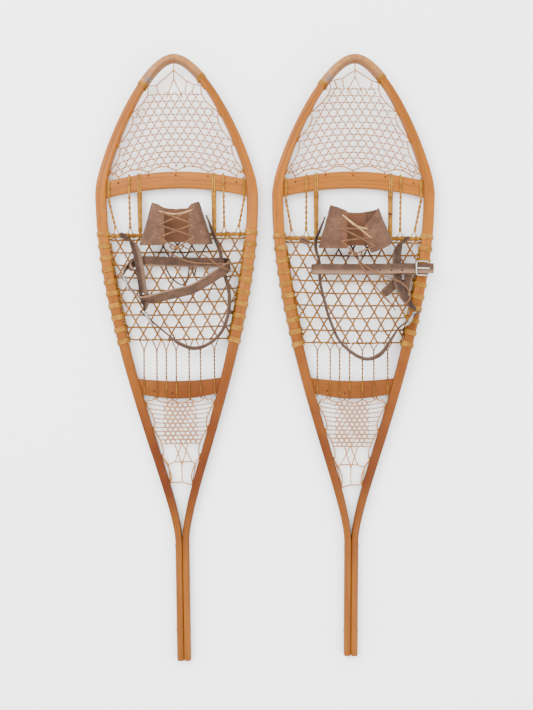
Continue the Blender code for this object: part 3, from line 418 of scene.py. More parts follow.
def cut(mesh: bpy.types.Mesh, tools: Stock) -> bpy.types.Mesh:
    """Take the bodies in tools away from a mesh.

    Args:
        mesh: Mesh to cut.
        tools: Closed bodies to take away.

    Returns:
        The cut mesh.
    """
    obj = bpy.data.objects.new("work", mesh)
    tool = bpy.data.objects.new("tool", tools.mesh("tool"))
    for each in (obj, tool):
        bpy.context.scene.collection.objects.link(each)
    mod = obj.modifiers.new("cut", "BOOLEAN")
    mod.solver = "EXACT"
    mod.operation = "DIFFERENCE"
    mod.object = tool
    bpy.context.view_layer.update()
    made = bpy.data.meshes.new_from_object(obj.evaluated_get(bpy.context.evaluated_depsgraph_get()))
    bpy.data.objects.remove(obj)
    bpy.data.objects.remove(tool)
    made.polygons.foreach_set("use_smooth", [True] * len(made.polygons))
    return made


def drill(tools: Stock, centre: Vector, axis: Vector, radius: float, depth: float, sides: int = 14) -> None:
    """Add a round hole's body to the tools.

    Args:
        tools: Bodies to cut with.
        centre: Middle of the hole.
        axis: Direction of the hole.
        radius: Its radius.
        depth: Its whole length.
        sides: Corners round the hole.
    """
    run = axis.normalized()
    x = run.orthogonal().normalized()
    y = run.cross(x)
    rings = []
    for end in (-0.5, 0.5):
        rings.append([centre + run * (end * depth) + (x * math.cos(2 * math.pi * k / sides)
                                                      + y * math.sin(2 * math.pi * k / sides)) * radius
                      for k in range(sides)])
    tools.loft(rings)


# ---------------------------------------------------------------- plan of a shoe


@dataclass(frozen=True)
class Section:
    """Cross-section of a rail: its centre, inward and upward axes, width and height."""

    centre: Vector
    across: Vector
    up: Vector
    width: float
    height: float

    def blend(self, other: Section, share: float) -> Section:
        """Section part of the way to another.

        Args:
            other: The section at the far end.
            share: How far along, from 0 to 1.

        Returns:
            The section between them.
        """
        return Section(self.centre.lerp(other.centre, share),
                       self.across.lerp(other.across, share).normalized(),
                       self.up.lerp(other.up, share).normalized(),
                       self.width + (other.width - self.width) * share,
                       self.height + (other.height - self.height) * share)

    def skin(self, grow: float, radius: float, arc: int = 3) -> list[Vector]:
        """Rounded outline round the rail, grown outward.

        Args:
            grow: Distance out from the wood.
            radius: Corner radius.
            arc: Steps round each corner.

        Returns:
            Points from the middle of the underside, round by the inner face.
        """
        flat = rounded_section(self.width / 2 + grow, self.height / 2 + grow, radius + grow, arc)
        return [self.centre + self.across * x + self.up * y for x, y in flat]

    def at_turn(self, turn: float, grow: float, radius: float) -> Vector:
        """Point on the rounded outline at a share of a full turn.

        Args:
            turn: Share of a turn from the middle of the underside.
            grow: Distance out from the wood.
            radius: Corner radius.

        Returns:
            The point.
        """
        ring = self.skin(grow, radius, 4)
        lengths = [0.0]
        for k in range(len(ring)):
            lengths.append(lengths[-1] + (ring[(k + 1) % len(ring)] - ring[k]).length)
        want = (turn % 1.0) * lengths[-1]
        for k in range(len(ring)):
            if want <= lengths[k + 1]:
                share = (want - lengths[k]) / max(lengths[k + 1] - lengths[k], 1e-9)
                return ring[k].lerp(ring[(k + 1) % len(ring)], share)
        return ring[0]


@dataclass
class ShoePlan:
    """Flat plan of one shoe and its place in the shared frame."""

    foot: Foot
    record: dict
    trim: float = 0.0
    web_shift: float = 0.0
    length: float = 1.220
    half_width: float = 0.165
    widest_v: float = 0.939
    tail_v: float = 0.240
    tail_half: float = 0.0140
    tail_gap: float = 0.0003
    tail_handle: float = 0.097
    waist_handle: float = 0.281
    shoulder_handle: float = 0.068
    tip_handle: float = 0.071
    toe_rise: float = 0.024
    toe_rise_from: float = 0.95
    master_base: float = 0.862
    hinge_z: float = 0.0158
    rail_width: Table = ((0.0, 0.0138), (0.25, 0.0138), (0.32, 0.0165), (0.55, 0.0195), (0.70, 0.022),
                         (0.95, 0.022),
                         (1.00, 0.0185), (1.12, 0.0165), (1.18, 0.0145), (1.22, 0.0125))
    rail_height: Table = ((0.0, 0.017), (0.30, 0.019), (0.60, 0.022), (0.95, 0.022), (1.10, 0.0205),
                          (1.22, 0.0175))
    rail_lean: Table = ((0.0, 0.0), (0.45, 0.0), (0.65, -5.0), (0.93, -5.0), (1.02, 6.0), (1.15, 7.0),
                        (1.22, 12.0))
    rail_lift: Table = ((0.0, 0.0), (0.25, 0.0), (0.62, 0.0048), (0.95, 0.0048))

    def __post_init__(self) -> None:
        """Find the shoe's place from its binding hinge, and draw its rails."""
        name = self.foot.named("binding_pivot")
        joint = next(j for j in self.record["behaviour"]["joints"] if j["name"] == name)
        across = -Vector(joint["axis"])
        self.turn = Matrix.Rotation(math.atan2(across.y, across.x), 4, "Z")
        self.master = self.master_base + self.web_shift
        self.middle = Vector((0, self.length / 2, 0))
        hinge = Vector((0, self.master, self.hinge_z))
        self.origin = Vector(joint["pos_m"]) - self.turn @ (hinge - self.middle)
        self.shoe_body = self.foot.named("shoe")
        self.binding_body = self.foot.named("binding")
        self.rails = {side: self.draw_rail(side) for side in (-1, 1)}
        self.faces = [(s.centre + s.across * (s.width / 2)) for s in self.rails[-1]]

    def row(self, point: Vector) -> Vector:
        """Plan point in the shared frame."""
        return self.origin + self.turn @ (point - self.middle)

    def rows(self, points: Iterable[Vector]) -> list[Vector]:
        """Plan points in the shared frame."""
        return [self.row(p) for p in points]

    def heading(self, direction: Sequence[float]) -> Vector:
        """Plan direction in the shared frame."""
        return self.turn.to_3x3() @ Vector(direction)

    def lift(self, v: float) -> float:
        """Height of the rail's underside above the ground."""
        climb = max(0.0, (v - self.toe_rise_from) / (self.length - self.toe_rise_from))
        return along(self.rail_lift, v) + self.toe_rise * climb ** 2

    def mid(self, v: float) -> float:
        """Height of the rail's middle."""
        return self.lift(v) + along(self.rail_height, v) / 2

    def outline(self) -> list[Vector]:
        """Outer edge of one half, from the tail end to the tip.

        Returns:
            Plan points with u rising from the centre line.
        """
        tail = Vector((self.tail_half, self.tail_v, 0))
        wide = Vector((self.half_width, self.widest_v, 0))
        tip = Vector((0.0, self.length, 0))
        low = (tail, tail + Vector((0, self.tail_handle, 0)), wide - Vector((0, self.waist_handle, 0)),
               wide)
        high = (wide, wide + Vector((0, self.shoulder_handle, 0)), tip + Vector((self.tip_handle, 0, 0)),
                tip)
        points = [Vector((self.tail_half, self.trim + (self.tail_v - self.trim) * k / 16,
                          0)) for k in range(16)]
        for corners, count in ((low, 60), (high, 60)):
            for k in range(count):
                t = k / count
                s = 1 - t
                points.append(corners[0] * s ** 3 + corners[1] * 3 * s * s * t + corners[2] * 3 * s * t * t
                              + corners[3] * t ** 3)
        return points + [tip]

    def draw_rail(self, side: int) -> list[Section]:
        """Sections of one rail.

        Args:
            side: Which side of the centre line.

        Returns:
            Plan sections from the tail end to the tip.
        """
        outer = self.outline()
        last = len(outer) - 1
        found = []
        for i, p in enumerate(outer):
            run = (outer[min(i + 1, last)] - outer[max(i - 1, 0)]).normalized()
            if i == last:
                run = Vector((-1, 0, 0))
            if p.y <= self.tail_v:
                run = Vector((0, 1, 0))
            inward = Vector((-run.y * side, run.x, 0))
            lean = math.radians(along(self.rail_lean, p.y))
            width = along(self.rail_width, p.y)
            height = along(self.rail_height, p.y)
            step = width / 2 * math.cos(lean) + height / 2 * abs(math.sin(lean))
            centre = Vector((p.x * side, p.y, self.mid(p.y))) + inward * step
            if p.y <= self.tail_v:
                centre.x = side * (self.tail_half + self.tail_gap / 2) / 2
                width = self.tail_half - self.tail_gap / 2
            across = inward * math.cos(lean) + Vector((0, 0, math.sin(lean)))
            up = Vector((0, 0, math.cos(lean))) - inward * math.sin(lean)
            found.append(Section(centre, across, up, width, height))
        return found

    def rail(self, side: int, v: float) -> Section:
        """Section of one rail at v.

        Args:
            side: Which side of the centre line.
            v: Place along the shoe.

        Returns:
            The section in the plan.
        """
        rows = self.rails[side]
        for a, b in zip(rows, rows[1:]):
            if v <= b.centre.y:
                return a.blend(b, max(0.0, (v - a.centre.y) / max(b.centre.y - a.centre.y, 1e-9)))
        return rows[-1]

    def inner(self, v: float) -> float:
        """Half-distance between the rails' inner faces."""
        return along([(p.y, -p.x) for p in self.faces], v)

    def placed(self, section: Section) -> Section:
        """Section carried into the shared frame."""
        return Section(self.row(section.centre), self.heading(section.across), self.heading(section.up),
                       section.width, section.height)


# ---------------------------------------------------------------- finishes

Colour = tuple[float, float, float]
Socket = bpy.types.NodeSocket


class Graph:
    """Short ways to build a node tree."""

    def __init__(self, tree: bpy.types.NodeTree) -> None:
        """Keep the tree to build in."""
        self.tree = tree

    def add(self, kind: str, **settings: object) -> bpy.types.Node:
        """New node with settings.

        Args:
            kind: Node type.
            settings: Properties to set.

        Returns:
            The node.
        """
        node = self.tree.nodes.new(kind)
        for key, value in settings.items():
            setattr(node, key, value)
        return node

    def feed(self, socket: Socket, value: object) -> None:
        """Link a socket into an input, or set the input to a plain value.

        Args:
            socket: The input.
            value: A socket, a number, or a colour of three numbers.
        """
        if isinstance(value, bpy.types.NodeSocket):
            self.tree.links.new(value, socket)
        elif isinstance(value, tuple) and len(value) == 3 and socket.type == "RGBA":
            socket.default_value = (*value, 1.0)
        else:
            socket.default_value = value

    def math(self, operation: str, a: object, b: object = 0.0, clamp: bool = False) -> Socket:
        """Arithmetic on two values.

        Args:
            operation: Name of the operation.
            a: First value or socket.
            b: Second value or socket.
            clamp: Keep the result from 0 to 1.

        Returns:
            The result.
        """
        node = self.add("ShaderNodeMath", operation=operation, use_clamp=clamp)
        self.feed(node.inputs[0], a)
        self.feed(node.inputs[1], b)
        return node.outputs[0]

    def band(self, value: object, low: float, high: float, to_low: float = 0.0,
             to_high: float = 1.0) -> Socket:
        """Smooth step from one level to another.

        Args:
            value: What to read.
            low: Where the step starts.
            high: Where it ends.
            to_low: Level before the step.
            to_high: Level after it.

        Returns:
            The level.
        """
        node = self.add("ShaderNodeMapRange", interpolation_type="SMOOTHSTEP")
        for socket, number in zip(node.inputs[:5], (value, low, high, to_low, to_high)):
            self.feed(socket, number)
        return node.outputs[0]

    def mix(self, share: object, a: object, b: object, blend: str = "MIX") -> Socket:
        """Mix two colours.

        Args:
            share: How much of the second.
            a: First colour.
            b: Second colour.
            blend: Way of mixing.

        Returns:
            The mixed colour.
        """
        node = self.add("ShaderNodeMix", data_type="RGBA", blend_type=blend)
        self.feed(node.inputs[0], share)
        self.feed(node.inputs[6], a)
        self.feed(node.inputs[7], b)
        return node.outputs[2]

    def stretched(self, vector: Socket, scale: Triple) -> Socket:
        """Scale a vector by three numbers.

        Args:
            vector: The vector.
            scale: One factor for each axis.

        Returns:
            The scaled vector.
        """
        node = self.add("ShaderNodeVectorMath", operation="MULTIPLY")
        self.feed(node.inputs[0], vector)
        node.inputs[1].default_value = scale
        return node.outputs[0]

    def noise(self, vector: Socket, scale: float, detail: float = 3.0, rough: float = 0.55,
              warp: float = 0.0) -> Socket:
        """Cloudy noise from 0 to 1.

        Args:
            vector: Where to read it.
            scale: Its fineness.
            detail: Number of finer layers.
            rough: Strength of the finer layers.
            warp: Distortion.

        Returns:
            The noise.
        """
        node = self.add("ShaderNodeTexNoise")
        self.feed(node.inputs["Vector"], vector)
        node.inputs["Scale"].default_value = scale
        node.inputs["Detail"].default_value = detail
        node.inputs["Roughness"].default_value = rough
        node.inputs["Distortion"].default_value = warp
        return node.outputs["Fac"]

    def grain_map(self) -> Socket:
        """Map that runs along the material, in metres."""
        return self.add("ShaderNodeUVMap", uv_map="grain").outputs["UV"]

    def position(self) -> Socket:
        """Place in the shared frame, which moves with the piece."""
        return self.add("ShaderNodeTexCoord").outputs["Object"]

    def axes(self, vector: Socket) -> tuple[Socket, Socket, Socket]:
        """The three numbers of a vector.

        Args:
            vector: The vector.

        Returns:
            Its x, y and z.
        """
        node = self.add("ShaderNodeSeparateXYZ")
        self.feed(node.inputs[0], vector)
        return node.outputs[0], node.outputs[1], node.outputs[2]


class Effect:
    """Shader node groups that several finishes share, each built once."""

    @staticmethod
    def start(name: str, inputs: dict[str, float], outputs: Sequence[str]) -> Optional[tuple]:
        """Open a new group.

        Args:
            name: Group name.
            inputs: Named numbers with their usual values.
            outputs: Names of the masks that it puts out.

        Returns:
            The group, its graph, input node and output node, or nothing where it stands already.
        """
        if name in bpy.data.node_groups:
            return None
        tree = bpy.data.node_groups.new(name, "ShaderNodeTree")
        tree.interface.new_socket(name="Vector", in_out="INPUT", socket_type="NodeSocketVector")
        for label, usual in inputs.items():
            socket = tree.interface.new_socket(name=label, in_out="INPUT", socket_type="NodeSocketFloat")
            socket.default_value = usual
        for label in outputs:
            tree.interface.new_socket(name=label, in_out="OUTPUT", socket_type="NodeSocketFloat")
        graph = Graph(tree)
        return tree, graph, graph.add("NodeGroupInput"), graph.add("NodeGroupOutput")

    @staticmethod
    def fibres() -> bpy.types.NodeTree:
        """Streaks drawn out along the material.

        Returns:
            Group that puts out Streaks and fine Pores.
        """
        made = Effect.start("fibres", {"Along": 8.0, "Across": 300.0}, ("Streaks", "Pores"))
        if made:
            _, graph, given, result = made
            x, y, z = graph.axes(given.outputs["Vector"])
            join = graph.add("ShaderNodeCombineXYZ")
            graph.feed(join.inputs[0], graph.math("MULTIPLY", x, given.outputs["Along"]))
            graph.feed(join.inputs[1], graph.math("MULTIPLY", y, given.outputs["Across"]))
            graph.feed(join.inputs[2], graph.math("MULTIPLY", z, given.outputs["Across"]))
            graph.feed(result.inputs[0], graph.noise(join.outputs[0], 1.0, 4.0, 0.6, 0.35))
            fine = graph.noise(graph.stretched(join.outputs[0], (6.0, 4.0, 4.0)), 1.0, 2.0, 0.5)
            graph.feed(result.inputs[1], graph.band(fine, 0.52, 0.66))
        return bpy.data.node_groups["fibres"]

    @staticmethod
    def mottle() -> bpy.types.NodeTree:
        """Uneven blotches, as in handled hide.

        Returns:
            Group that puts out broad Blotch and close Grain.
        """
        made = Effect.start("mottle", {"Size": 40.0, "Grain": 900.0}, ("Blotch", "Grain"))
        if made:
            tree, graph, given, result = made
            broad = graph.add("ShaderNodeTexNoise")
            close = graph.add("ShaderNodeTexNoise")
            for node, key, detail in ((broad, "Size", 4.0), (close, "Grain", 3.0)):
                graph.feed(node.inputs["Vector"], given.outputs["Vector"])
                graph.feed(node.inputs["Scale"], given.outputs[key])
                node.inputs["Detail"].default_value = detail
            graph.feed(result.inputs[0], graph.band(broad.outputs["Fac"], 0.34, 0.66))
            graph.feed(result.inputs[1], close.outputs["Fac"])
        return bpy.data.node_groups["mottle"]

    @staticmethod
    def rubbed_edge() -> bpy.types.NodeTree:
        """Worn edges of a flat strip whose grain map starts at the middle of its back.

        Returns:
            Group that puts out the Edge mask.
        """
        made = Effect.start("rubbed_edge", {"Half": 0.010, "Reach": 0.0022}, ("Edge",))
        if made:
            _, graph, given, result = made
            _, girth, _ = graph.axes(given.outputs["Vector"])
            left = graph.math("ABSOLUTE", graph.math("SUBTRACT", girth, given.outputs["Half"]))
            far = graph.math("MULTIPLY", given.outputs["Half"], 3.0)
            right = graph.math("ABSOLUTE", graph.math("SUBTRACT", girth, graph.math("ADD", far, 0.0026)))
            near = graph.math("MINIMUM", left, right)
            share = graph.math("DIVIDE", near, given.outputs["Reach"])
            graph.feed(result.inputs[0], graph.band(share, 1.6, 0.7))
        return bpy.data.node_groups["rubbed_edge"]


class Dresser:
    """Builds one material: a graph with its shader and the shared effects in reach."""

    def __init__(self, name: str) -> None:
        """Start a material with a Principled shader.

        Args:
            name: Name of the material.
        """
        self.material = bpy.data.materials.new(name)
        self.material.use_nodes = True
        self.graph = Graph(self.material.node_tree)
        self.shader = self.material.node_tree.nodes["Principled BSDF"]

    def effect(self, tree: bpy.types.NodeTree, vector: Socket, **values: float) -> bpy.types.Node:
        """Place a shared effect.

        Args:
            tree: The effect's group.
            vector: Where it is read.
            values: Numbers for its named inputs.

        Returns:
            The group node.
        """
        node = self.graph.add("ShaderNodeGroup", node_tree=tree)
        self.graph.feed(node.inputs["Vector"], vector)
        for key, value in values.items():
            node.inputs[key].default_value = value
        return node

    def constant(self, **values: float) -> None:
        """Set plain numbers on the shader."""
        for key, value in values.items():
            self.shader.inputs[key.replace("_", " ")].default_value = value

    def finish(self, colour: Socket, rough: Socket, height: Socket, strength: float,
               depth: float) -> bpy.types.Material:
        """Join colour, roughness and relief to the shader.

        Args:
            colour: Colour over the surface.
            rough: Roughness over the surface.
            height: Relief from 0 to 1.
            strength: How strongly the relief shows.
            depth: Its depth in metres.

        Returns:
            The finished material.
        """
        bump = self.graph.add("ShaderNodeBump")
        bump.inputs["Strength"].default_value = strength
        bump.inputs["Distance"].default_value = depth
        self.graph.feed(bump.inputs["Height"], height)
        self.graph.feed(self.shader.inputs["Base Color"], colour)
        self.graph.feed(self.shader.inputs["Roughness"], rough)
        self.graph.feed(self.shader.inputs["Normal"], bump.outputs[0])
        return self.material


@dataclass(frozen=True)
class AshFinish:
    """Varnished ash, honey at the toe and more orange at the heel, with open grain along the stick."""

    name: str = "ash_varnished"
    toe: Colour = (0.235, 0.072, 0.004)
    heel: Colour = (0.060, 0.009, 0.0003)
    ring: Colour = (0.080, 0.019, 0.001)
    pore: Colour = (0.060, 0.015, 0.002)
    blush: Colour = (0.240, 0.078, 0.006)
    tail: Colour = (0.165, 0.052, 0.006)
    tail_y: float = -0.44
    heel_y: float = -0.24
    toe_y: float = 0.34
    across: float = 230.0
    along: float = 5.0

    def dress(self) -> bpy.types.Material:
        """Build the material.

        Returns:
            The finished material.
        """
        work = Dresser(self.name)
        g = work.graph
        grain = g.grain_map()
        spot = g.position()
        fine = work.effect(Effect.fibres(), grain, Along=self.along, Across=self.across)
        broad = work.effect(Effect.fibres(), grain, Along=1.6, Across=self.across / 3.4)
        patch = work.effect(Effect.mottle(), spot, Size=9.0, Grain=120.0)
        _, y, _ = g.axes(spot)
        base = g.mix(g.band(y, self.heel_y, self.toe_y), self.heel, self.toe)
        base = g.mix(g.band(y, self.heel_y, self.tail_y), base, self.tail)
        base = g.mix(g.math("MULTIPLY", patch.outputs["Blotch"], 0.30), base, self.blush)
        rings = g.band(broad.outputs["Streaks"], 0.47, 0.62)
        base = g.mix(g.math("MULTIPLY", rings, 0.42), base, self.ring)
        lines = g.band(fine.outputs["Streaks"], 0.50, 0.66)
        base = g.mix(g.math("MULTIPLY", lines, 0.38), base, self.ring)
        base = g.mix(g.math("MULTIPLY", fine.outputs["Pores"], 0.30), base, self.pore)
        rough = g.band(fine.outputs["Streaks"], 0.3, 0.8, 0.36, 0.56)
        relief = g.math("SUBTRACT", 1.0, g.math("MULTIPLY", fine.outputs["Pores"], 0.8))
        work.constant(Coat_Weight=0.05, Coat_Roughness=0.28, Specular_IOR_Level=0.10)
        return work.finish(base, rough, relief, 0.35, 0.00025)


@dataclass(frozen=True)
class HideFinish:
    """Varnished rawhide strand: golden, streaked along its length and mottled."""

    name: str
    light: Colour
    dark: Colour
    deep: Colour
    along: float = 60.0
    across: float = 900.0
    deep_share: float = 0.45
    kinks: bool = False
    stains: tuple[Triple, ...] = ()
    stained: Colour = (0.022, 0.008, 0.003)

    def dress(self) -> bpy.types.Material:
        """Build the material; with kinks, the hide darkens at each whole number of its map.

        Returns:
            The finished material.
        """
        work = Dresser(self.name)
        g = work.graph
        grain = g.grain_map()
        spot = g.position()
        patch = work.effect(Effect.mottle(), spot, Size=70.0, Grain=1400.0)
        base = g.mix(patch.outputs["Blotch"], self.light, self.dark)
        if self.kinks:
            x, _, _ = g.axes(grain)
            share = g.math("ABSOLUTE", g.math("SUBTRACT", g.math("FRACT", g.math("ADD", x, 0.5)), 0.5))
            base = g.mix(g.math("MULTIPLY", g.band(share, 0.20, 0.04), 0.75), base, self.deep)
            streaks = patch.outputs["Grain"]
        else:
            drawn = work.effect(Effect.fibres(), grain, Along=self.along, Across=self.across)
            streaks = drawn.outputs["Streaks"]
            base = g.mix(g.math("MULTIPLY", g.band(streaks, 0.46, 0.70), self.deep_share), base, self.deep)
        for stain in self.stains:
            offset = g.add("ShaderNodeVectorMath", operation="SUBTRACT")
            g.feed(offset.inputs[0], spot)
            offset.inputs[1].default_value = stain
            reach = g.add("ShaderNodeVectorMath", operation="LENGTH")
            g.feed(reach.inputs[0], g.stretched(offset.outputs[0], (1.0, 2.3, 0.0)))
            ragged = g.math("ADD", reach.outputs["Value"],
                            g.math("MULTIPLY", patch.outputs["Blotch"], 0.016))
            base = g.mix(g.math("MULTIPLY", g.band(ragged, 0.085, 0.045), 0.85), base, self.stained)
        rough = g.band(patch.outputs["Grain"], 0.3, 0.7, 0.34, 0.55)
        work.constant(Coat_Weight=0.04, Coat_Roughness=0.3, Specular_IOR_Level=0.12)
        return work.finish(base, rough, streaks, 0.35, 0.0003)


@dataclass(frozen=True)
class CoverFinish:
    """Dried hide drawn over the tip: golden on top, with painted shade browning its inner face, ribbed and
    stained.
    """

    name: str = "rawhide_tip"
    light: Colour = (0.28, 0.118, 0.026)
    # Brown of the ribs, also used as painted shade on the cover's inner face.
    brown_and_shade: Colour = (0.115, 0.042, 0.012)
    grey: Colour = (0.085, 0.074, 0.064)
    golden: Colour = (0.22, 0.085, 0.018)
    stains: tuple[Triple, ...] = ()

    def dress(self) -> bpy.types.Material:
        """Build the material; each stain is a grey patch about a point.

        Returns:
            The finished material.
        """
        work = Dresser(self.name)
        g = work.graph
        grain = g.grain_map()
        spot = g.position()
        patch = work.effect(Effect.mottle(), spot, Size=95.0, Grain=1500.0)
        ribs = work.effect(Effect.fibres(), grain, Along=430.0, Across=22.0)
        base = g.mix(patch.outputs["Blotch"], self.light, self.golden)
        base = g.mix(g.math("MULTIPLY", g.band(ribs.outputs["Streaks"], 0.42, 0.66), 0.62), base,
                     self.brown_and_shade)
        # Painted shade: the lower inner corner and the inner face of the cover are mixed towards brown.
        _, girth, _ = g.axes(grain)
        inside = g.math("MULTIPLY", g.band(girth, 0.030, 0.0265), g.band(girth, 0.004, 0.008))
        base = g.mix(g.math("MULTIPLY", inside, 0.55), base, self.brown_and_shade)
        for stain in self.stains:
            near = g.add("ShaderNodeVectorMath", operation="DISTANCE")
            g.feed(near.inputs[0], spot)
            near.inputs[1].default_value = stain
            ragged = g.math("ADD", near.outputs["Value"], g.math("MULTIPLY", patch.outputs["Grain"], 0.004))
            base = g.mix(g.math("MULTIPLY", g.band(ragged, 0.013, 0.005), 0.8), base, self.grey)
        rough = g.band(patch.outputs["Grain"], 0.3, 0.7, 0.42, 0.62)
        work.constant(Coat_Weight=0.06, Coat_Roughness=0.35, Specular_IOR_Level=0.25)
        return work.finish(base, rough, ribs.outputs["Streaks"], 0.5, 0.0005)


@dataclass(frozen=True)
class LeatherFinish:
    """Handled leather: mottled nap, creases and paler rubbed edges."""

    name: str
    light: Colour
    dark: Colour
    worn: Colour
    spots: Colour
    half: float = 0.010
    size: float = 60.0
    nap: float = 1800.0
    sheen: float = 0.15
    smooth_sole: float = 0.0
    sole: Colour = (0.105, 0.040, 0.017)

    def dress(self) -> bpy.types.Material:
        """Build the material; a sole smooths and browns the leather about the middle of its map.

        Returns:
            The finished material.
        """
        work = Dresser(self.name)
        g = work.graph
        grain = g.grain_map()
        spot = g.position()
        patch = work.effect(Effect.mottle(), spot, Size=self.size, Grain=self.nap)
        small = work.effect(Effect.mottle(), spot, Size=self.size * 4.2, Grain=self.nap * 0.4)
        edge = work.effect(Effect.rubbed_edge(), grain, Half=self.half, Reach=0.0020)
        base = g.mix(patch.outputs["Blotch"], self.light, self.dark)
        base = g.mix(g.math("MULTIPLY", small.outputs["Blotch"], 0.50), base, self.spots)
        base = g.mix(g.math("MULTIPLY", g.band(patch.outputs["Grain"], 0.42, 0.62), 0.28), base, self.worn)
        rubbed = g.math("MULTIPLY", edge.outputs["Edge"],
                        g.band(small.outputs["Grain"], 0.30, 0.55, 0.35, 0.8))
        if self.smooth_sole:
            x, _, _ = g.axes(grain)
            sole = g.band(g.math("ABSOLUTE", x), self.smooth_sole, self.smooth_sole * 0.6)
            base = g.mix(g.math("MULTIPLY", sole, 0.8), base, self.sole)
        else:
            base = g.mix(rubbed, base, self.worn)
        rough = g.band(patch.outputs["Grain"], 0.3, 0.7, 0.62, 0.92)
        work.constant(Sheen_Weight=self.sheen, Sheen_Roughness=0.5, Specular_IOR_Level=0.2)
        relief = g.math("ADD", patch.outputs["Grain"], g.math("MULTIPLY", small.outputs["Grain"], 0.8))
        return work.finish(base, rough, relief, 0.45, 0.0004)


@dataclass(frozen=True)
class SteelFinish:
    """Nickel-plated wire, dulled in patches and finely scratched."""

    name: str = "nickel_wire"
    bright: Colour = (0.42, 0.405, 0.375)
    dull: Colour = (0.15, 0.132, 0.108)

    def dress(self) -> bpy.types.Material:
        """Build the material.

        Returns:
            The finished material.
        """
        work = Dresser(self.name)
        g = work.graph
        spot = g.position()
        patch = work.effect(Effect.mottle(), spot, Size=210.0, Grain=2600.0)
        scratch = work.effect(Effect.fibres(), g.grain_map(), Along=300.0, Across=5200.0)
        tarnish = g.math("MULTIPLY", patch.outputs["Blotch"], 0.55)
        base = g.mix(tarnish, self.bright, self.dull)
        rough = g.band(patch.outputs["Grain"], 0.3, 0.7, 0.24, 0.46)
        work.constant(Metallic=1.0)
        return work.finish(base, rough, scratch.outputs["Streaks"], 0.12, 0.0001)


class Wardrobe:
    """Every finish of the pair, built once."""

    def __init__(self, stains: tuple[Triple, ...], soles: tuple[Triple, ...]) -> None:
        """Dress all the materials.

        Args:
            stains: Where the tip covers are stained grey.
            soles: Where boots have darkened the lacing.
        """
        gold = {"light": (0.285, 0.130, 0.014), "dark": (0.180, 0.070, 0.006),
                "deep": (0.060, 0.019, 0.003)}
        amber = {"light": (0.205, 0.082, 0.008), "dark": (0.120, 0.041, 0.004),
                 "deep": (0.034, 0.010, 0.002)}
        self.ash = AshFinish().dress()
        self.gold = HideFinish("rawhide_golden", **gold).dress()
        self.lacing = HideFinish("rawhide_lacing", **amber, deep_share=0.6, stains=soles).dress()
        self.netting = HideFinish("rawhide_netting", (0.330, 0.130, 0.012), (0.250, 0.085, 0.007),
                                  (0.075, 0.022, 0.004), kinks=True).dress()
        # The dark knot hide also serves as plugs that paint shade in the lacing holes.
        self.knots = HideFinish("rawhide_knots", (0.070, 0.024, 0.010), (0.034, 0.012, 0.007),
                                (0.015, 0.007, 0.005)).dress()
        self.cover = CoverFinish(stains=stains).dress()
        self.suede = LeatherFinish("suede_toe", (0.092, 0.042, 0.021), (0.044, 0.018, 0.009),
                                   (0.165, 0.085, 0.050),
                                   (0.026, 0.010, 0.005), half=1.0, size=42.0, sheen=0.04,
                                   smooth_sole=0.030).dress()
        self.strap = LeatherFinish("strap_worn", (0.054, 0.023, 0.011), (0.022, 0.009, 0.005),
                                   (0.195, 0.110, 0.067),
                                   (0.012, 0.005, 0.003), half=0.0096, size=75.0, sheen=0.02).dress()
        # The darker copy of the strap leather paints shade on the heel billets; the knot loops use it too.
        self.strap_shaded = LeatherFinish("strap_shaded", (0.038, 0.017, 0.009), (0.016, 0.007, 0.004),
                                        (0.135, 0.078, 0.048),
                                        (0.010, 0.004, 0.003), half=0.0096, size=75.0, sheen=0.02).dress()
        # A paler copy of the thong leather, a painted highlight on the first lacing passes.
        self.thong = LeatherFinish("thong_painted_highlight", (0.40, 0.245, 0.108), (0.26, 0.135, 0.050),
                                   (0.50, 0.345, 0.185),
                                   (0.110, 0.046, 0.018), half=1.0, size=110.0, nap=3000.0,
                                   sheen=0.04).dress()
        self.thong_brown = LeatherFinish("thong_brown", (0.150, 0.062, 0.020), (0.075, 0.031, 0.012),
                                         (0.24, 0.125, 0.055),
                                         (0.035, 0.015, 0.007), half=1.0, size=110.0, nap=3000.0,
                                         sheen=0.04).dress()
        self.steel = SteelFinish().dress()


# ---------------------------------------------------------------- wood

UP = Vector((0, 0, 1))


@dataclass(frozen=True)
class Bar:
    """One crossbar: its edges on the centre line and at its ends, and its lacing holes."""

    name: str
    toe: float
    toe_end: float
    tail: float
    tail_end: float
    holes: tuple[tuple[float, float], ...]
    thick: float = 0.010

    def edges(self, share: float) -> tuple[float, float]:
        """Toe-side and tail-side edge at a share of the half-length."""
        ease = min(1.0, share * share)
        return self.toe + (self.toe_end - self.toe) * ease, self.tail + (self.tail_end - self.tail) * ease

    def top(self, plan: ShoePlan) -> float:
        """Height of the bar's upper face."""
        return plan.mid((self.toe + self.tail) / 2) + self.thick / 2


FRONT_BAR = Bar("front_crossbar", 0.990, 0.972, 0.956, 0.938,
                ((-0.117, 0.968), (-0.056, 0.982), (-0.001, 0.982), (0.064, 0.979), (0.121, 0.966)))
REAR_BAR = Bar("rear_crossbar", 0.567, 0.573, 0.531, 0.541,
               ((-0.051, 0.547), (-0.015, 0.542), (0.021, 0.541), (0.050, 0.548)))


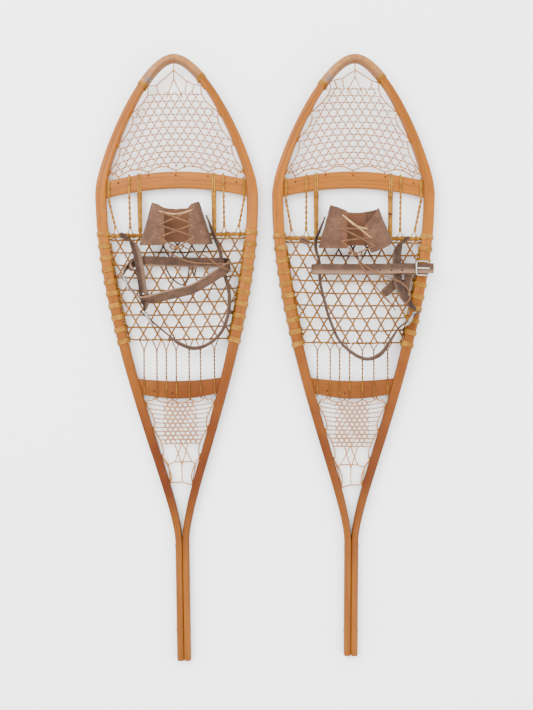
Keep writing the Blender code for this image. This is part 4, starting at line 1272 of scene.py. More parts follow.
@dataclass
class WoodWork:
    """Bow of the shoe, bent from one stick, and its two crossbars."""

    plan: ShoePlan
    wardrobe: Wardrobe
    corner: float = 0.0036
    end_round: float = 0.0016
    bar_corner: float = 0.0024
    bar_steps: int = 40
    hole: float = 0.0036
    seat: float = 0.0012

    def build(self) -> None:
        """Make the bow and both bars."""
        self.build_bow()
        for bar in (FRONT_BAR, REAR_BAR):
            self.build_bar(bar)

    def build_bow(self) -> None:
        """Loft the bow from one tail end over the tip to the other."""
        plan = self.plan
        sections = plan.rails[-1] + plan.rails[1][-2::-1]
        rings = [plan.rows(s.skin(0.0, self.corner, 4)) for s in sections]
        for end, inner, way in ((0, 1, 1), (-1, -2, -1)):
            centre = plan.row(sections[end].centre)
            small = [centre + (p - centre) * 0.84 for p in rings[end]]
            step = plan.heading((0, self.end_round, 0))
            full = [p + step for p in rings[end]]
            if way > 0:
                rings[0:1] = [small, full]
            else:
                rings[-1:] = [full, small]
        stock = Stock()
        stock.loft(rings)
        place(plan.foot.named("bow"), stock.mesh("bow"), self.wardrobe.ash, plan.shoe_body,
              [plan.foot.named("frame")], crease=50)

    def build_bar(self, bar: Bar) -> None:
        """Loft a crossbar between the rails and bore its lacing holes.

        Args:
            bar: Which bar.
        """
        plan = self.plan
        rings = []
        for k in range(self.bar_steps + 1):
            share = 2 * k / self.bar_steps - 1
            toe, tail = bar.edges(abs(share))
            middle = (toe + tail) / 2
            ring = []
            for x, z in rounded_section((toe - tail) / 2, bar.thick / 2, self.bar_corner, 4):
                v = middle + x
                ring.append(Vector((share * (plan.inner(v) + self.seat), v, plan.mid(middle) + z)))
            rings.append(plan.rows(ring))
        stock = Stock()
        stock.loft(rings)
        tools = Stock()
        for u, v in bar.holes:
            spot = plan.row(Vector((u, v, plan.mid(v))))
            drill(tools, spot, UP, self.hole / 2, 0.04)
            drill(tools, Vector((spot.x, spot.y, bar.top(plan))), UP, self.hole * 0.66, 0.0009)
        mesh = cut(stock.mesh(bar.name), tools)
        place(plan.foot.named(bar.name + "_wood"), mesh, self.wardrobe.ash, plan.shoe_body,
              [plan.foot.named(bar.name)], crease=38)


@dataclass
class Rivets:
    """Rivets through the paired tails, with domed heads."""

    plan: ShoePlan
    wardrobe: Wardrobe
    places: tuple[float, ...] = (0.062, 0.232)
    shank: float = 0.0018
    head: float = 0.0038
    rise: float = 0.0015

    def build(self) -> None:
        """Turn each rivet about its own line."""
        plan = self.plan
        seat = plan.tail_half + 0.0002
        profile = ((seat + self.rise, 0.25), (seat + self.rise * 0.92, 0.55),
                   (seat + self.rise * 0.72, 0.8),
                   (seat + self.rise * 0.4, 0.96), (seat + self.rise * 0.1, 1.0), (seat, 0.97))
        for index, v in enumerate(self.places):
            runs = [(-u, r * self.head) for u, r in profile] + [(-seat, self.shank), (seat, self.shank)]
            runs += [(u, r * self.head) for u, r in reversed(profile)]
            rings = []
            for u, r in runs:
                rings.append([plan.row(Vector((u, v + r * math.cos(a), plan.mid(v) + r * math.sin(a))))
                              for a in (2 * math.pi * k / 20 for k in range(20))])
            stock = Stock()
            stock.loft(rings)
            node = plan.foot.named(f"tail_rivet_{index + 1}")
            place(node + "_domed", stock.mesh("rivet"), self.wardrobe.steel, plan.shoe_body,
                  [node], crease=50)


# ---------------------------------------------------------------- rawhide on the rails


def winding(plan: ShoePlan, side: int, start: float, stop: float, turns: float, grow: float, corner: float,
            begin: float = 0.0) -> tuple[list[Vector], list[Vector]]:
    """Line wound round a rail.

    Args:
        plan: The shoe.
        side: Which rail.
        start: Where along the shoe it begins.
        stop: Where it ends.
        turns: Number of turns.
        grow: Distance from the wood to the middle of the strand.
        corner: Corner radius of the wood.
        begin: Share of a turn to begin at.

    Returns:
        Points in the shared frame and the way out of the wood at each.
    """
    count = math.ceil(turns * 22)
    points, outs = [], []
    for k in range(count + 1):
        share = k / count
        section = plan.rail(side, start + (stop - start) * share)
        turn = begin + turns * share
        p = section.at_turn(turn, grow, corner)
        points.append(plan.row(p))
        outs.append(plan.heading(section.at_turn(turn, grow + 0.001, corner) - p))
    return points, outs


def ring_round(stock: Stock, centre: Vector, axis: Vector, radius: float, strand: float,
               steps: int = 10) -> None:
    """One turn of strand round a cord.

    Args:
        stock: Where it is made.
        centre: Middle of the turn.
        axis: Way that the cord runs.
        radius: From the cord's middle to the strand's.
        strand: Radius of the strand.
        steps: Points round the turn.
    """
    run = axis.normalized()
    x = run.orthogonal().normalized()
    y = run.cross(x)
    loop = [centre + (x * math.cos(2 * math.pi * k / steps) + y * math.sin(2 * math.pi * k / steps))
            * radius
            for k in range(steps)]
    stock.strand(loop, round_section(strand, 6), closed=True)


@dataclass
class TipCover:
    """Dried hide drawn over the tip, with a cord lashing at each end and a nailed knot."""

    plan: ShoePlan
    wardrobe: Wardrobe
    ends: tuple[float, float] = (1.165, 1.178)
    thick: float = 0.0012
    corner: float = 0.0036
    rib: float = 0.0022
    rib_deep: float = 0.00042
    step: float = 0.0009
    lashing: float = 0.0078
    lashing_turns: float = 3.2

    def sections(self) -> list[Section]:
        """Close-set sections under the cover.

        Returns:
            Sections from the left end over the tip to the right end.
        """
        plan = self.plan
        rows = [s for s in plan.rails[-1] if s.centre.y > self.ends[0]]
        rows += [s for s in plan.rails[1][-2::-1] if s.centre.y > self.ends[1]]
        rows = [plan.rail(-1, self.ends[0])] + rows + [plan.rail(1, self.ends[1])]
        found = []
        for a, b in zip(rows, rows[1:]):
            count = max(1, math.ceil((b.centre - a.centre).length / self.step))
            found += [a.blend(b, k / count) for k in range(count)]
        return found + [rows[-1]]

    def build(self) -> None:
        """Make the cover and its two lashings."""
        plan = self.plan
        sections = self.sections()
        rings = []
        passed = 0.0
        for i, section in enumerate(sections):
            if i:
                passed += (section.centre - sections[i - 1].centre).length
            ring = []
            thin = 0.35 + 0.65 * min(1.0, min(i, len(sections) - 1 - i) / 3)
            for p in section.skin(self.thick * thin, self.corner, 4):
                out = (p - section.centre).normalized()
                wander = passed / self.rib + 0.55 * rough(p, 0.006)
                ridge = abs(math.sin(math.pi * wander)) * self.rib_deep * (0.6 + 0.6 * rough(p, 0.011))
                ring.append(plan.row(p + out * (ridge + 0.00022 * rough(p, 0.004))))
            rings.append(ring)
        stock = Stock()
        stock.loft(rings)
        place(plan.foot.named("tip_hide"), stock.mesh("tip_hide"), self.wardrobe.cover, plan.shoe_body,
              [plan.foot.named("tip_cover")])
        for label, side, end in (("a", -1, self.ends[0]), ("b", 1, self.ends[1])):
            stock = Stock()
            top = end + 0.0004
            points, outs = winding(plan, side, top, top - self.lashing, self.lashing_turns, 0.0011,
                                   self.corner, 0.1)
            stock.strand(points, round_section(0.0013, 8, 0.75), outs, swell=0.25)
            inner = plan.rail(side, top - self.lashing / 2).at_turn(0.27, 0.0022, self.corner)
            stock.lump(plan.row(inner), 0.0022)
            stock.lump(plan.row(inner + Vector((0.0, -0.0042, 0.0012))), 0.0017)
            node = plan.foot.named(f"tip_lashing_{label}")
            place(node + "_turns", stock.mesh("tip_lashing"), self.wardrobe.gold, plan.shoe_body,
                  [node])


@dataclass
class RailLashings:
    """Nine bands of rawhide round each rail, joined by the cord that the web hangs from."""

    plan: ShoePlan
    wardrobe: Wardrobe
    pitch: float = 0.0241
    band: float = 0.0110
    count: int = 9
    turns: float = 3.5
    half_wide: float = 0.00142
    flat: float = 0.85
    corner: float = 0.0036
    cord: float = 0.0021

    def build(self) -> None:
        """Wind both rails."""
        plan = self.plan
        for label, side in (("outer", plan.foot.side), ("inner", -plan.foot.side)):
            stock = Stock()
            first = plan.master + 0.003 - self.pitch
            section = round_section(self.half_wide, 8, self.flat)
            grow = self.half_wide * self.flat + 0.0001
            for k in range(self.count):
                middle = first - k * self.pitch + 0.0007 * rough(Vector((side * 3.1, k * 1.7, 0)), 1.0)
                half = self.band / 2 - self.half_wide
                points, outs = winding(plan, side, middle + half, middle - half, self.turns, grow,
                                       self.corner,
                                       0.22 + 0.05 * (k % 3))
                stock.strand(points, section, outs, swell=0.16)
            line = []
            stop = first - (self.count - 1) * self.pitch - self.band / 2
            steps = 90
            for k in range(steps + 1):
                v = first + self.band / 2 + (stop - first - self.band / 2) * k / steps
                rail = plan.rail(side, v)
                line.append(plan.row(rail.centre + rail.across * (rail.width / 2 + self.cord + 0.0004)))
            stock.plied(line, self.cord, 2, 95.0)
            node = plan.foot.named(f"rail_lashing_{label}")
            place(node + "_turns", stock.mesh("rail_lashing"), self.wardrobe.gold, plan.shoe_body,
                  [node])


@dataclass
class MasterCord:
    """Thick laid cord that the foot hinges on, with its wraps and the twisted strands beside the toe hole."""

    plan: ShoePlan
    wardrobe: Wardrobe
    radius: float = 0.0041
    side_strands: tuple[tuple[float, float], ...] = ((0.136, 0.122), (0.095, 0.095))
    side_radius: float = 0.0028
    fork: float = 0.017
    fork_wide: float = 0.0065

    def build(self) -> None:
        """Lay the cord, wind its ends and twist the side strands."""
        plan = self.plan
        stock = Stock()
        z = plan.hinge_z
        v = plan.master
        reach = plan.inner(v) - 0.0012
        line = evenly([Vector((-reach, v, z)), Vector((reach, v, z))], 0.0022)
        stock.plied(plan.rows(line), self.radius, 4, 26.0, 8, self.radius * 0.45)
        for side in (-1, 1):
            points, outs = winding(plan, side, v + 0.0072, v - 0.0012, 3.3, 0.0012, 0.0036, 0.2)
            stock.strand(points, round_section(0.00175, 8, 0.62), outs, swell=0.16)
            for at_bar, at_cord in self.side_strands:
                self.twist_strand(stock, side, at_bar, at_cord)
        node = plan.foot.named("master_cord")
        place(node + "_laid", stock.mesh("master_cord"), self.wardrobe.gold, plan.shoe_body,
              [node])

    def twist_strand(self, stock: Stock, side: int, at_bar: float, at_cord: float) -> None:
        """Twisted strand from the top of the front bar to a small fork on the cord.

        Args:
            stock: Where it is made.
            side: Which side of the shoe.
            at_bar: Distance across at the bar.
            at_cord: Distance across at the cord.
        """
        plan = self.plan
        z = plan.hinge_z
        toe, tail = FRONT_BAR.edges(at_bar / plan.inner(0.945))
        top = FRONT_BAR.top(plan) + self.side_radius * 0.72
        split = Vector((side * (at_cord + (at_bar - at_cord) * 0.2), plan.master + self.fork, z + 0.001))
        fall = [Vector((side * at_bar, toe + 0.0016, top - 0.006)),
                Vector((side * at_bar, toe + 0.0006, top - 0.0008)),
                Vector((side * at_bar, (toe + tail) / 2, top)), Vector((side * at_bar, tail - 0.0005, top)),
                Vector((side * at_bar, tail - 0.008, top - 0.0014))]
        path = evenly(fall[:4] + smooth([fall[3], fall[4], split], 6)[1:], 0.0016)
        stock.plied(plan.rows(path), self.side_radius, 2, 48.0)
        stock.lump(plan.row(split), self.side_radius * 1.25)
        for way in (-1, 1):
            foot = Vector((side * at_cord + way * self.fork_wide, plan.master + 0.001,
                           z + self.radius * 0.7))
            stock.strand(plan.rows(evenly([split, foot], 0.002)), round_section(0.00115, 6), swell=0.1)
            for step in (-0.0014, 0.0012):
                centre = plan.row(Vector((foot.x + step, plan.master, z)))
                ring_round(stock, centre, plan.heading((1, 0.12, 0)), self.radius + 0.0004, 0.0011, 14)


@dataclass
class ToeCords:
    """Bound cords on each side of the toe hole, running over the front bar."""

    plan: ShoePlan
    wardrobe: Wardrobe
    across: float = 0.075
    radius: float = 0.0037
    spread: float = 0.0036
    strand_radius: float = 0.0020
    tie_below: float = 0.0085

    def build(self) -> None:
        """Bind both cords."""
        plan = self.plan
        for label, side in (("outer", plan.foot.side), ("inner", -plan.foot.side)):
            stock = Stock()
            toe, tail = FRONT_BAR.edges(self.across / plan.inner(0.95))
            start = plan.master + 0.0038
            stop = tail - 0.0010
            z = plan.hinge_z
            line = evenly([Vector((side * self.across, start, z)),
                           Vector((side * self.across, stop, z + 0.0006))], 0.002)
            stock.strand(plan.rows(line), round_section(self.radius * 0.74, 8))
            self.bind(stock, side, start, stop, z)
            self.cross_bar(stock, side, toe, tail)
            for step in (-0.0016, 0.0016):
                centre = plan.row(Vector((side * self.across + step, plan.master, z)))
                ring_round(stock, centre, plan.heading((1, 0, 0)), 0.0046, 0.0016, 16)
            node = plan.foot.named(f"toe_cord_{label}")
            place(node + "_bound", stock.mesh("toe_cord"), self.wardrobe.gold, plan.shoe_body,
                  [node])
            if plan.foot is Foot.RIGHT and label == "outer":
                self.dark_band(side, (start + stop) / 2, z)

    def bind(self, stock: Stock, side: int, start: float, stop: float, z: float) -> None:
        """Lay strands side by side along the cord, held by a few turns near the bar and the master cord.

        Args:
            stock: Where they are made.
            side: Which side of the shoe.
            start: Tail end of the bundle.
            stop: Toe end of the bundle.
            z: Height of the cord.
        """
        plan = self.plan
        for k, (across,
                high) in enumerate(((-1.0, 0.0), (0.02, 0.35), (1.0, 0.05), (-0.45, -0.5), (0.5, -0.45))):
            path = []
            for p in evenly([Vector((0, start, z)), Vector((0, stop, z))], 0.003):
                share = (p.y - start) / (stop - start)
                spread = self.spread * (0.62 + 0.38 * share)
                stray = 0.0005 * rough(Vector((k * 0.3, p.y, side)), 0.02)
                path.append(Vector((side * self.across + across * spread + stray, p.y,
                                    z + high * self.spread + stray)))
            stock.strand(plan.rows(path), round_section(self.strand_radius, 8), swell=0.12)
        for v, count in ((stop - self.tie_below, 2), (stop - self.tie_below - 0.0050, 1),
                         (start + 0.006, 3)):
            share = (v - start) / (stop - start)
            for turn in range(count):
                centre = plan.row(Vector((side * self.across, v + 0.0021 * turn, z)))
                ring_round(stock, centre, plan.heading((0.10 - 0.08 * turn, 1, 0)),
                           self.radius + 0.0011 * share, 0.0010, 16)

    def cross_bar(self, stock: Stock, side: int, toe: float, tail: float) -> None:
        """Two strands that carry the cord flat over the bar.

        Args:
            stock: Where they are made.
            side: Which side of the shoe.
            toe: Toe-side edge of the bar.
            tail: Tail-side edge of the bar.
        """
        plan = self.plan
        top = FRONT_BAR.top(plan) + 0.0010
        for way in (-1, 1):
            u = side * self.across + way * 0.0021
            corners = [Vector((u - way * 0.0008, tail - 0.0075, top - 0.0030)),
                       Vector((u, tail - 0.0010, top - 0.0002)),
                       Vector((u, tail + 0.004, top)), Vector((u, (toe + tail) / 2, top)),
                       Vector((u, toe - 0.002, top)),
                       Vector((u, toe + 0.0013, top - 0.0016)), Vector((u, toe + 0.0016, top - 0.009))]
            path = evenly(smooth(corners, 4), 0.0018)
            stock.strand(plan.rows(path), round_section(0.0017, 8, 0.6), [UP], swell=0.12)
        for k in range(3):
            centre = plan.row(Vector((side * self.across, tail - 0.0062 - 0.0022 * k,
                                      plan.hinge_z + 0.0004)))
            ring_round(stock, centre, plan.heading((0.12, 1, 0)), self.radius + 0.0006, 0.0012, 14)

    def dark_band(self, side: int, v: float, z: float) -> None:
        """Thin dark thong tied round one cord.

        Args:
            side: Which side of the shoe.
            v: Where it is tied.
            z: Height of the cord.
        """
        plan = self.plan
        stock = Stock()
        for step in (-0.0011, 0.0009):
            centre = plan.row(Vector((side * self.across, v + step, z)))
            ring_round(stock, centre, plan.heading((0.15, 1, 0)), self.radius + 0.0003, 0.0009, 16)
        place(plan.foot.named("toe_cord_tie"), stock.mesh("tie"), self.wardrobe.knots, plan.shoe_body)


# ---------------------------------------------------------------- webbing

Inside = Callable[[float, float], bool]


@dataclass
class Weave:
    """Three families of strands that pass over and under each other, clipped to a field."""

    plan: ShoePlan
    start_v: float
    pitch: float
    cell: float
    bow: Callable[[float, float], float]
    height: Callable[[float], float]
    rise: float
    rows: range
    spread: int = 16
    stray: float = 0.0

    def spot(self, u: float, v: float, lift: float) -> Vector:
        """Plan point of a place in the weave, bowed and lifted.

        Args:
            u: Place across.
            v: Place along before the strands slacken.
            lift: Height in rises of the weave.

        Returns:
            The plan point.
        """
        bowed = v + self.bow(u, v)
        place_at = Vector((u, bowed, 0.0))
        slack_u = self.stray * rough(place_at, 0.013)
        slack_v = self.stray * rough(place_at + UP, 0.013)
        return Vector((u + slack_u, bowed + slack_v, self.height(bowed) + lift * self.rise))

    def clip(self, path: list[tuple[Vector, float]], inside: Inside) -> list[list[tuple[Vector, float]]]:
        """Stretches of a strand that lie inside the field.

        Args:
            path: Points with the number of crossings passed.
            inside: Tells whether a plan place is in the field.

        Returns:
            The stretches, each ending on the field's edge.
        """
        found: list[list[tuple[Vector, float]]] = []
        held: list[tuple[Vector, float]] = []
        before = None
        for item in path:
            here = inside(item[0].x, item[0].y)
            if before is not None and here != inside(before[0].x, before[0].y):
                low, high = (before, item) if here else (item, before)
                for _ in range(7):
                    mid = (low[0].lerp(high[0], 0.5), (low[1] + high[1]) / 2)
                    if inside(mid[0].x, mid[0].y):
                        high = mid
                    else:
                        low = mid
                held.append(high)
                if not here:
                    found.append(held)
                    held = []
            if here:
                held.append(item)
            before = item
        if held:
            found.append(held)
        return [run for run in found if len(run) > 3]

    def strands(self, inside_across: Inside, inside_slant: Inside) -> list[list[tuple[Vector, float]]]:
        """All the strands of the weave.

        Args:
            inside_across: Field of the strands that run straight across.
            inside_slant: Field of the two slanting families.

        Returns:
            Lists of points with the number of crossings passed.
        """
        found = []
        c = self.cell
        for r in self.rows:
            v = self.start_v + r * self.pitch
            zero = -c / 2 + r * c
            path = []
            for k in range(-self.spread * 10, self.spread * 10 + 1):
                u = k * c / 5
                phase = (u - zero) / c
                path.append((self.spot(u, v, math.cos(math.pi * phase)), phase))
            found += self.clip(path, inside_across)
        low, high = self.rows.start - 1, self.rows.stop
        for slant in (1, -1):
            for i in range(-self.spread, self.spread + 1):
                path = []
                for k in range(low * 10, high * 10 + 1):
                    w = k / 10
                    u = slant * (-c / 2 + 2 * c * i + w * c)
                    path.append((self.spot(u, self.start_v + w * self.pitch,
                                           -slant * math.cos(2 * math.pi * w)), 2 * w))
                found += self.clip(path, inside_slant)
        return found


@dataclass
class BodyWeb:
    """Heavy lacing under the foot, hung from the rail cords and led back over the rear bar."""

    plan: ShoePlan
    wardrobe: Wardrobe
    pitch: float = 0.025
    half_wide: float = 0.0018
    flat: float = 0.66
    side_gap: float = 0.0036
    rows: int = 8
    rise: float = 0.0011
    sag: float = 0.0028
    rear: tuple[float, ...] = (-0.071, -0.045, -0.026, -0.006, 0.020, 0.043, 0.071)
    join_v: float = 0.629
    rear_radius: float = 0.0019
    loop_span: tuple[float, float] = (0.048, 0.068)

    def height(self, v: float) -> float:
        """Height of the web's middle, which climbs to pass over the rear bar."""
        top = REAR_BAR.top(self.plan) + self.rear_radius * 0.8
        return along(((0.578, top), (0.634, self.plan.mid(0.70))), v)

    def limit(self, v: float) -> float:
        """Half-width that the strands may fill."""
        return self.plan.inner(v) - self.side_gap

    def build(self) -> None:
        """Weave the web and twist its rear strands."""
        plan = self.plan
        top = plan.master - 0.0088
        last = top - self.rows * self.pitch
        front = plan.master - 0.0022

        def bow(u: float, v: float) -> float:
            """Slack of the strands towards the tail."""
            away = min(1.0, max(0.0, (top - v) / 0.06))
            return -self.sag * away * max(0.0, 1 - (u / 0.135) ** 2)

        def field(u: float, v: float) -> bool:
            """Whether a place lies between the rail cords, the master cord and the last row.

            Args:
                u: Place across.
                v: Place along.

            Returns:
                True inside the field.
            """
            if not last - self.sag - 0.0006 < v < front:
                return False
            if v > front - 0.0055 and self.loop_span[0] < abs(u) < self.loop_span[1]:
                return False
            return abs(u) < self.limit(v)

        weave = Weave(plan, top, -self.pitch, self.pitch / math.sqrt(3), bow, self.height, self.rise,
                      range(0, self.rows + 1), 6, 0.0012)
        stock = Stock()
        section = round_section(self.half_wide, 8, self.flat)
        for run in weave.strands(field, field):
            stock.strand(plan.rows(p for p, _ in run), section, [UP], ease=0, swell=0.16)
            for end, inner in ((run[0][0], run[1][0]), (run[-1][0], run[-2][0])):
                self.hitch(stock, end, inner, front)
        for u in self.rear:
            self.rear_strand(stock, u, last, bow)
        node = plan.foot.named("body_web")
        place(node + "_woven", stock.mesh("body_web"), self.wardrobe.lacing, plan.shoe_body,
              [node])

    def hitch(self, stock: Stock, end: Vector, inner: Vector, front: float) -> None:
        """Turns that hold a strand's end on the cord it hangs from.

        Args:
            stock: Where they are made.
            end: Where the strand stops.
            inner: The point before that; not used.
            front: Place of the master cord's edge.
        """
        plan = self.plan
        if end.y > front - 0.001:
            centre = Vector((end.x, plan.master, plan.hinge_z))
            ring_round(stock, plan.row(centre), plan.heading((1, 0.1, 0)), 0.0048, 0.0013, 14)
        elif abs(end.x) > self.limit(end.y) - 0.0012:
            side = 1 if end.x > 0 else -1
            rail = plan.rail(side, end.y)
            centre = rail.centre + rail.across * (rail.width / 2 + 0.0025)
            for step in (-0.0009, 0.0011):
                shift = Vector((0, step, 0))
                ring_round(stock, plan.row(centre + shift), plan.heading((0.06, 1, 0)), 0.0029, 0.0010, 9)

    def rear_strand(self, stock: Stock, u: float, last: float,
                    bow: Callable[[float, float], float]) -> None:
        """Fork from the last row and the twisted strand that it makes over the rear bar.

        Args:
            stock: Where it is made.
            u: Place across the shoe.
            last: Last row of the weave.
            bow: Slack of the row.
        """
        plan = self.plan
        join = Vector((u, self.join_v, self.height(self.join_v)))
        for way in (-1, 1):
            at = u + way * 0.0085
            root = Vector((at, last + bow(at, last), self.height(last) + 0.0012))
            stock.strand(plan.rows(evenly([root, join], 0.0022)), round_section(0.0013, 6), swell=0.15)
            ring_round(stock, plan.row(root - Vector((0, 0, 0.0012))), plan.heading((1, 0, 0)), 0.0024,
                       0.0010, 9)
        _, tail = REAR_BAR.edges(abs(u) / 0.080)
        top = REAR_BAR.top(plan) + self.rear_radius * 0.72
        over = [join, Vector((u, 0.605, self.height(0.605))), Vector((u, 0.578, top)),
                Vector((u, 0.560, top)),
                Vector((u, tail + 0.004, top)), Vector((u, tail - 0.0008, top - 0.0008)),
                Vector((u, tail - 0.0014, top - 0.006))]
        path = evenly(smooth(over, 5), 0.0016)
        stock.plied(plan.rows(path), self.rear_radius, 2, 62.0)
        stock.lump(plan.row(join), 0.0024)


class Net(Enum):
    """The two fine nets of a shoe."""

    TOE = "toe_net"
    HEEL = "heel_net"


@dataclass
class FineNet:
    """Fine net laced to the rails and to a crossbar."""

    plan: ShoePlan
    wardrobe: Wardrobe
    which: Net
    strand: float = 0.00098
    edge_strand: float = 0.00120
    knot: float = 0.00125

    def __post_init__(self) -> None:
        """Set where the net is tied."""
        right = self.plan.foot is Foot.RIGHT
        if self.which is Net.TOE:
            self.ties = (0.991, 1.055, 1.108, 1.166) if right else (0.989, 1.046, 1.106, 1.160)
            self.dip = 0.0115
        else:
            self.ties = (0.356, 0.407, 0.465, 0.515) if right else (0.361, 0.413, 0.470, 0.522)
            self.dip = 0.0085
        self.flip = -1 if right else 1
        self.slide = self.ties[1] - (1.046 if self.which is Net.TOE else 0.413)
        self.edge = self.scallops()

    def scallops(self) -> list[Vector]:
        """Right-hand edge of the net, tied at the rail and pulled in between.

        Returns:
            Plan points along the edge.
        """
        points = []
        for k, v in enumerate(self.ties):
            points.append(self.at(self.plan.inner(v) - 0.0008, v))
            if k + 1 < len(self.ties):
                ends = (v, self.ties[k + 1])
                wide, narrow = ends if self.which is Net.TOE else ends[::-1]
                slim, full = self.plan.inner(narrow), self.plan.inner(wide)
                steps = [self.at(slim - self.dip * deep + (full - slim) * share * share,
                                 narrow + (wide - narrow) * share)
                         for share, deep in ((0.10, 0.30), (0.35, 0.42), (0.62, 0.30), (0.84, 0.12))]
                points += steps[::-1] if self.which is Net.TOE else steps
        return smooth(points, 3)

    def at(self, u: float, v: float) -> Vector:
        """Plan point on the net."""
        return Vector((u, v, self.plan.mid(v)))

    def side(self, v: float) -> float:
        """Half-width to the net's edge."""
        return along([(p.y, p.x) for p in self.edge], v)

    def lay(self, stock: Stock, knots: Stock, path: Route, radius: float, knotted: bool = True) -> None:
        """Run one strand with a knot at each end.

        Args:
            stock: Where strands are made.
            knots: Where knots are made.
            path: Plan points.
            radius: Strand radius.
            knotted: Tie its ends.
        """
        fine = evenly(path, 0.0022)
        drawn = [p + Vector((0.0004 * rough(p, 0.01), 0.0004 * rough(p + UP, 0.01), 0)) for p in fine]
        drawn[0], drawn[-1] = fine[0], fine[-1]
        stock.strand(self.plan.rows(drawn), round_section(radius, 6), ease=0, swell=0.22,
                     phase=[0.5 + 0.0001 * k for k in range(len(drawn))])
        if knotted:
            for end in (path[0], path[-1]):
                knots.lump(self.plan.row(end), self.knot)

    def build(self) -> None:
        """Make the net, its edge and its knots."""
        plan = self.plan
        stock, knots = Stock(), Stock()
        if self.which is Net.TOE:
            weave, across, slant = self.toe_field()
            extras = self.toe_strands()
            bars = self.bar_edge(FRONT_BAR, 0.0035, 0.0115, 0.145, 1)
        else:
            weave, across, slant = self.heel_field()
            extras = self.heel_strands()
            bars = self.bar_edge(REAR_BAR, 0.0030, 0.0090, 0.080, -1)
        for run in weave.strands(across, slant):
            stock.strand(plan.rows(p for p, _ in run), round_section(self.strand, 6), ease=0, swell=0.2,
                         phase=[n for _, n in run])
            for end in (run[0][0], run[-1][0]):
                knots.lump(plan.row(end), self.knot * 0.85)
        for side in (-1, 1):
            mirrored = [Vector((side * p.x, p.y, p.z)) for p in self.edge]
            self.lay(stock, knots, mirrored, self.edge_strand, False)
            for v in self.ties:
                self.tie(stock, knots, side, v)
        for path in extras + bars:
            self.lay(stock, knots, path, self.edge_strand)
        node = plan.foot.named(self.which.value)
        place(node + "_woven", stock.mesh("net"), self.wardrobe.netting, plan.shoe_body,
              [node])
        place(node + "_knots", knots.mesh("knots"), self.wardrobe.knots, plan.shoe_body)

    def tie(self, stock: Stock, knots: Stock, side: int, v: float) -> None:
        """Strand through a hole in the rail; a dark lump marks its hole and knot and paints the hole's shade.

        Args:
            stock: Where strands are made.
            knots: Where knots are made.
            side: Which side of the shoe.
            v: Where it is tied.
        """
        plan = self.plan
        rail = plan.rail(side, v)
        face = rail.centre + rail.across * (rail.width / 2)
        for step in (-0.0024, 0.0024):
            hole = face + Vector((0, step, 0))
            # Painted shade: a dark lump of knot hide stands in for the shaded hole.
            knots.lump(plan.row(hole), 0.0014, 1.0)
            self.lay(stock, knots, [hole, self.at(side * self.side(v), v)], self.edge_strand, False)

    def bar_edge(self, bar: Bar, near: float, far: float, half: float, way: int) -> list[list[Vector]]:
        """Edge strand laced through the holes of a crossbar, in scallops.

        Args:
            bar: The crossbar.
            near: Gap from the bar at a hole.
            far: Gap from the bar between holes.
            half: Half-length of the bar.
            way: Direction from the bar to the net.

        Returns:
            Paths of the edge and of the strands that drop into the holes.
        """
        plan = self.plan
        places = [u for u, _ in bar.holes]
        first = -self.side(bar.edges(1)[0 if way > 0 else 1] + way * 0.018)
        stops = [first] + places + [-first]
        corners = []
        for k, u in enumerate(stops):
            edge = bar.edges(min(1.0, abs(u) / half))[0 if way > 0 else 1]
            inner = 0 < k < len(stops) - 1
            v = edge + way * (near if inner else 0.018)
            corners.append(self.at(u, v))
            if k + 1 < len(stops):
                for share in (0.3, 0.5, 0.7):
                    mid = u + (stops[k + 1] - u) * share
                    edge = bar.edges(min(1.0, abs(mid) / half))[0 if way > 0 else 1]
                    deep = far * (1.0 if share == 0.5 else 0.88)
                    corners.append(self.at(mid, edge + way * deep))
        paths = [smooth(corners, 4)]
        top = bar.top(plan)
        # Each strand ends down in its hole; the real lacing passes there, and the dark knot tied at its end
        # is a plug that paints the hole's shade.
        for u, v in bar.holes:
            edge = bar.edges(abs(u) / half)[0 if way > 0 else 1]
            under = plan.mid(v) - bar.thick / 2 - 0.0006
            paths.append([self.at(u, edge + way * near), Vector((u, edge + way * 0.0006, under)),
                          Vector((u, v, under)),
                          Vector((u, v, top - 0.0022))])
        return paths

    def toe_field(self) -> tuple[Weave, Inside, Inside]:
        """Weave of the toe net and the fields of its strands.

        Returns:
            The weave, the field of the cross strands and that of the slanting ones.
        """
        plan = self.plan

        def bow(u: float, v: float) -> float:
            """Arch of the rows over the crossbar, flatter and wider apart towards the tip."""
            high = min(1.0, max(0.0, (v - 1.02) / 0.13))
            return -(1.9 - 1.7 * high) * u * u + 0.012 * high * high - 0.004

        def low(u: float) -> float:
            """Lower edge of the field."""
            return FRONT_BAR.edges(min(1.0, abs(u) / 0.145))[0] + 0.0105

        def across(u: float, v: float) -> bool:
            """Whether a cross strand may lie here."""
            return low(u) < v < 1.1495 + self.slide and abs(u) < self.side(v)

        def slant(u: float, v: float) -> bool:
            """Whether a slanting strand may lie here."""
            return (low(u) < v < 1.1475 + self.slide
                    and abs(u) < self.side(v) - 0.0085 * min(1.0, (v - low(u)) / 0.02))

        weave = Weave(plan, 1.001 + self.slide, 0.0114, 0.0084, bow, plan.mid, 0.00045, range(-2, 16), 12,
                      0.0009)
        return weave, across, slant

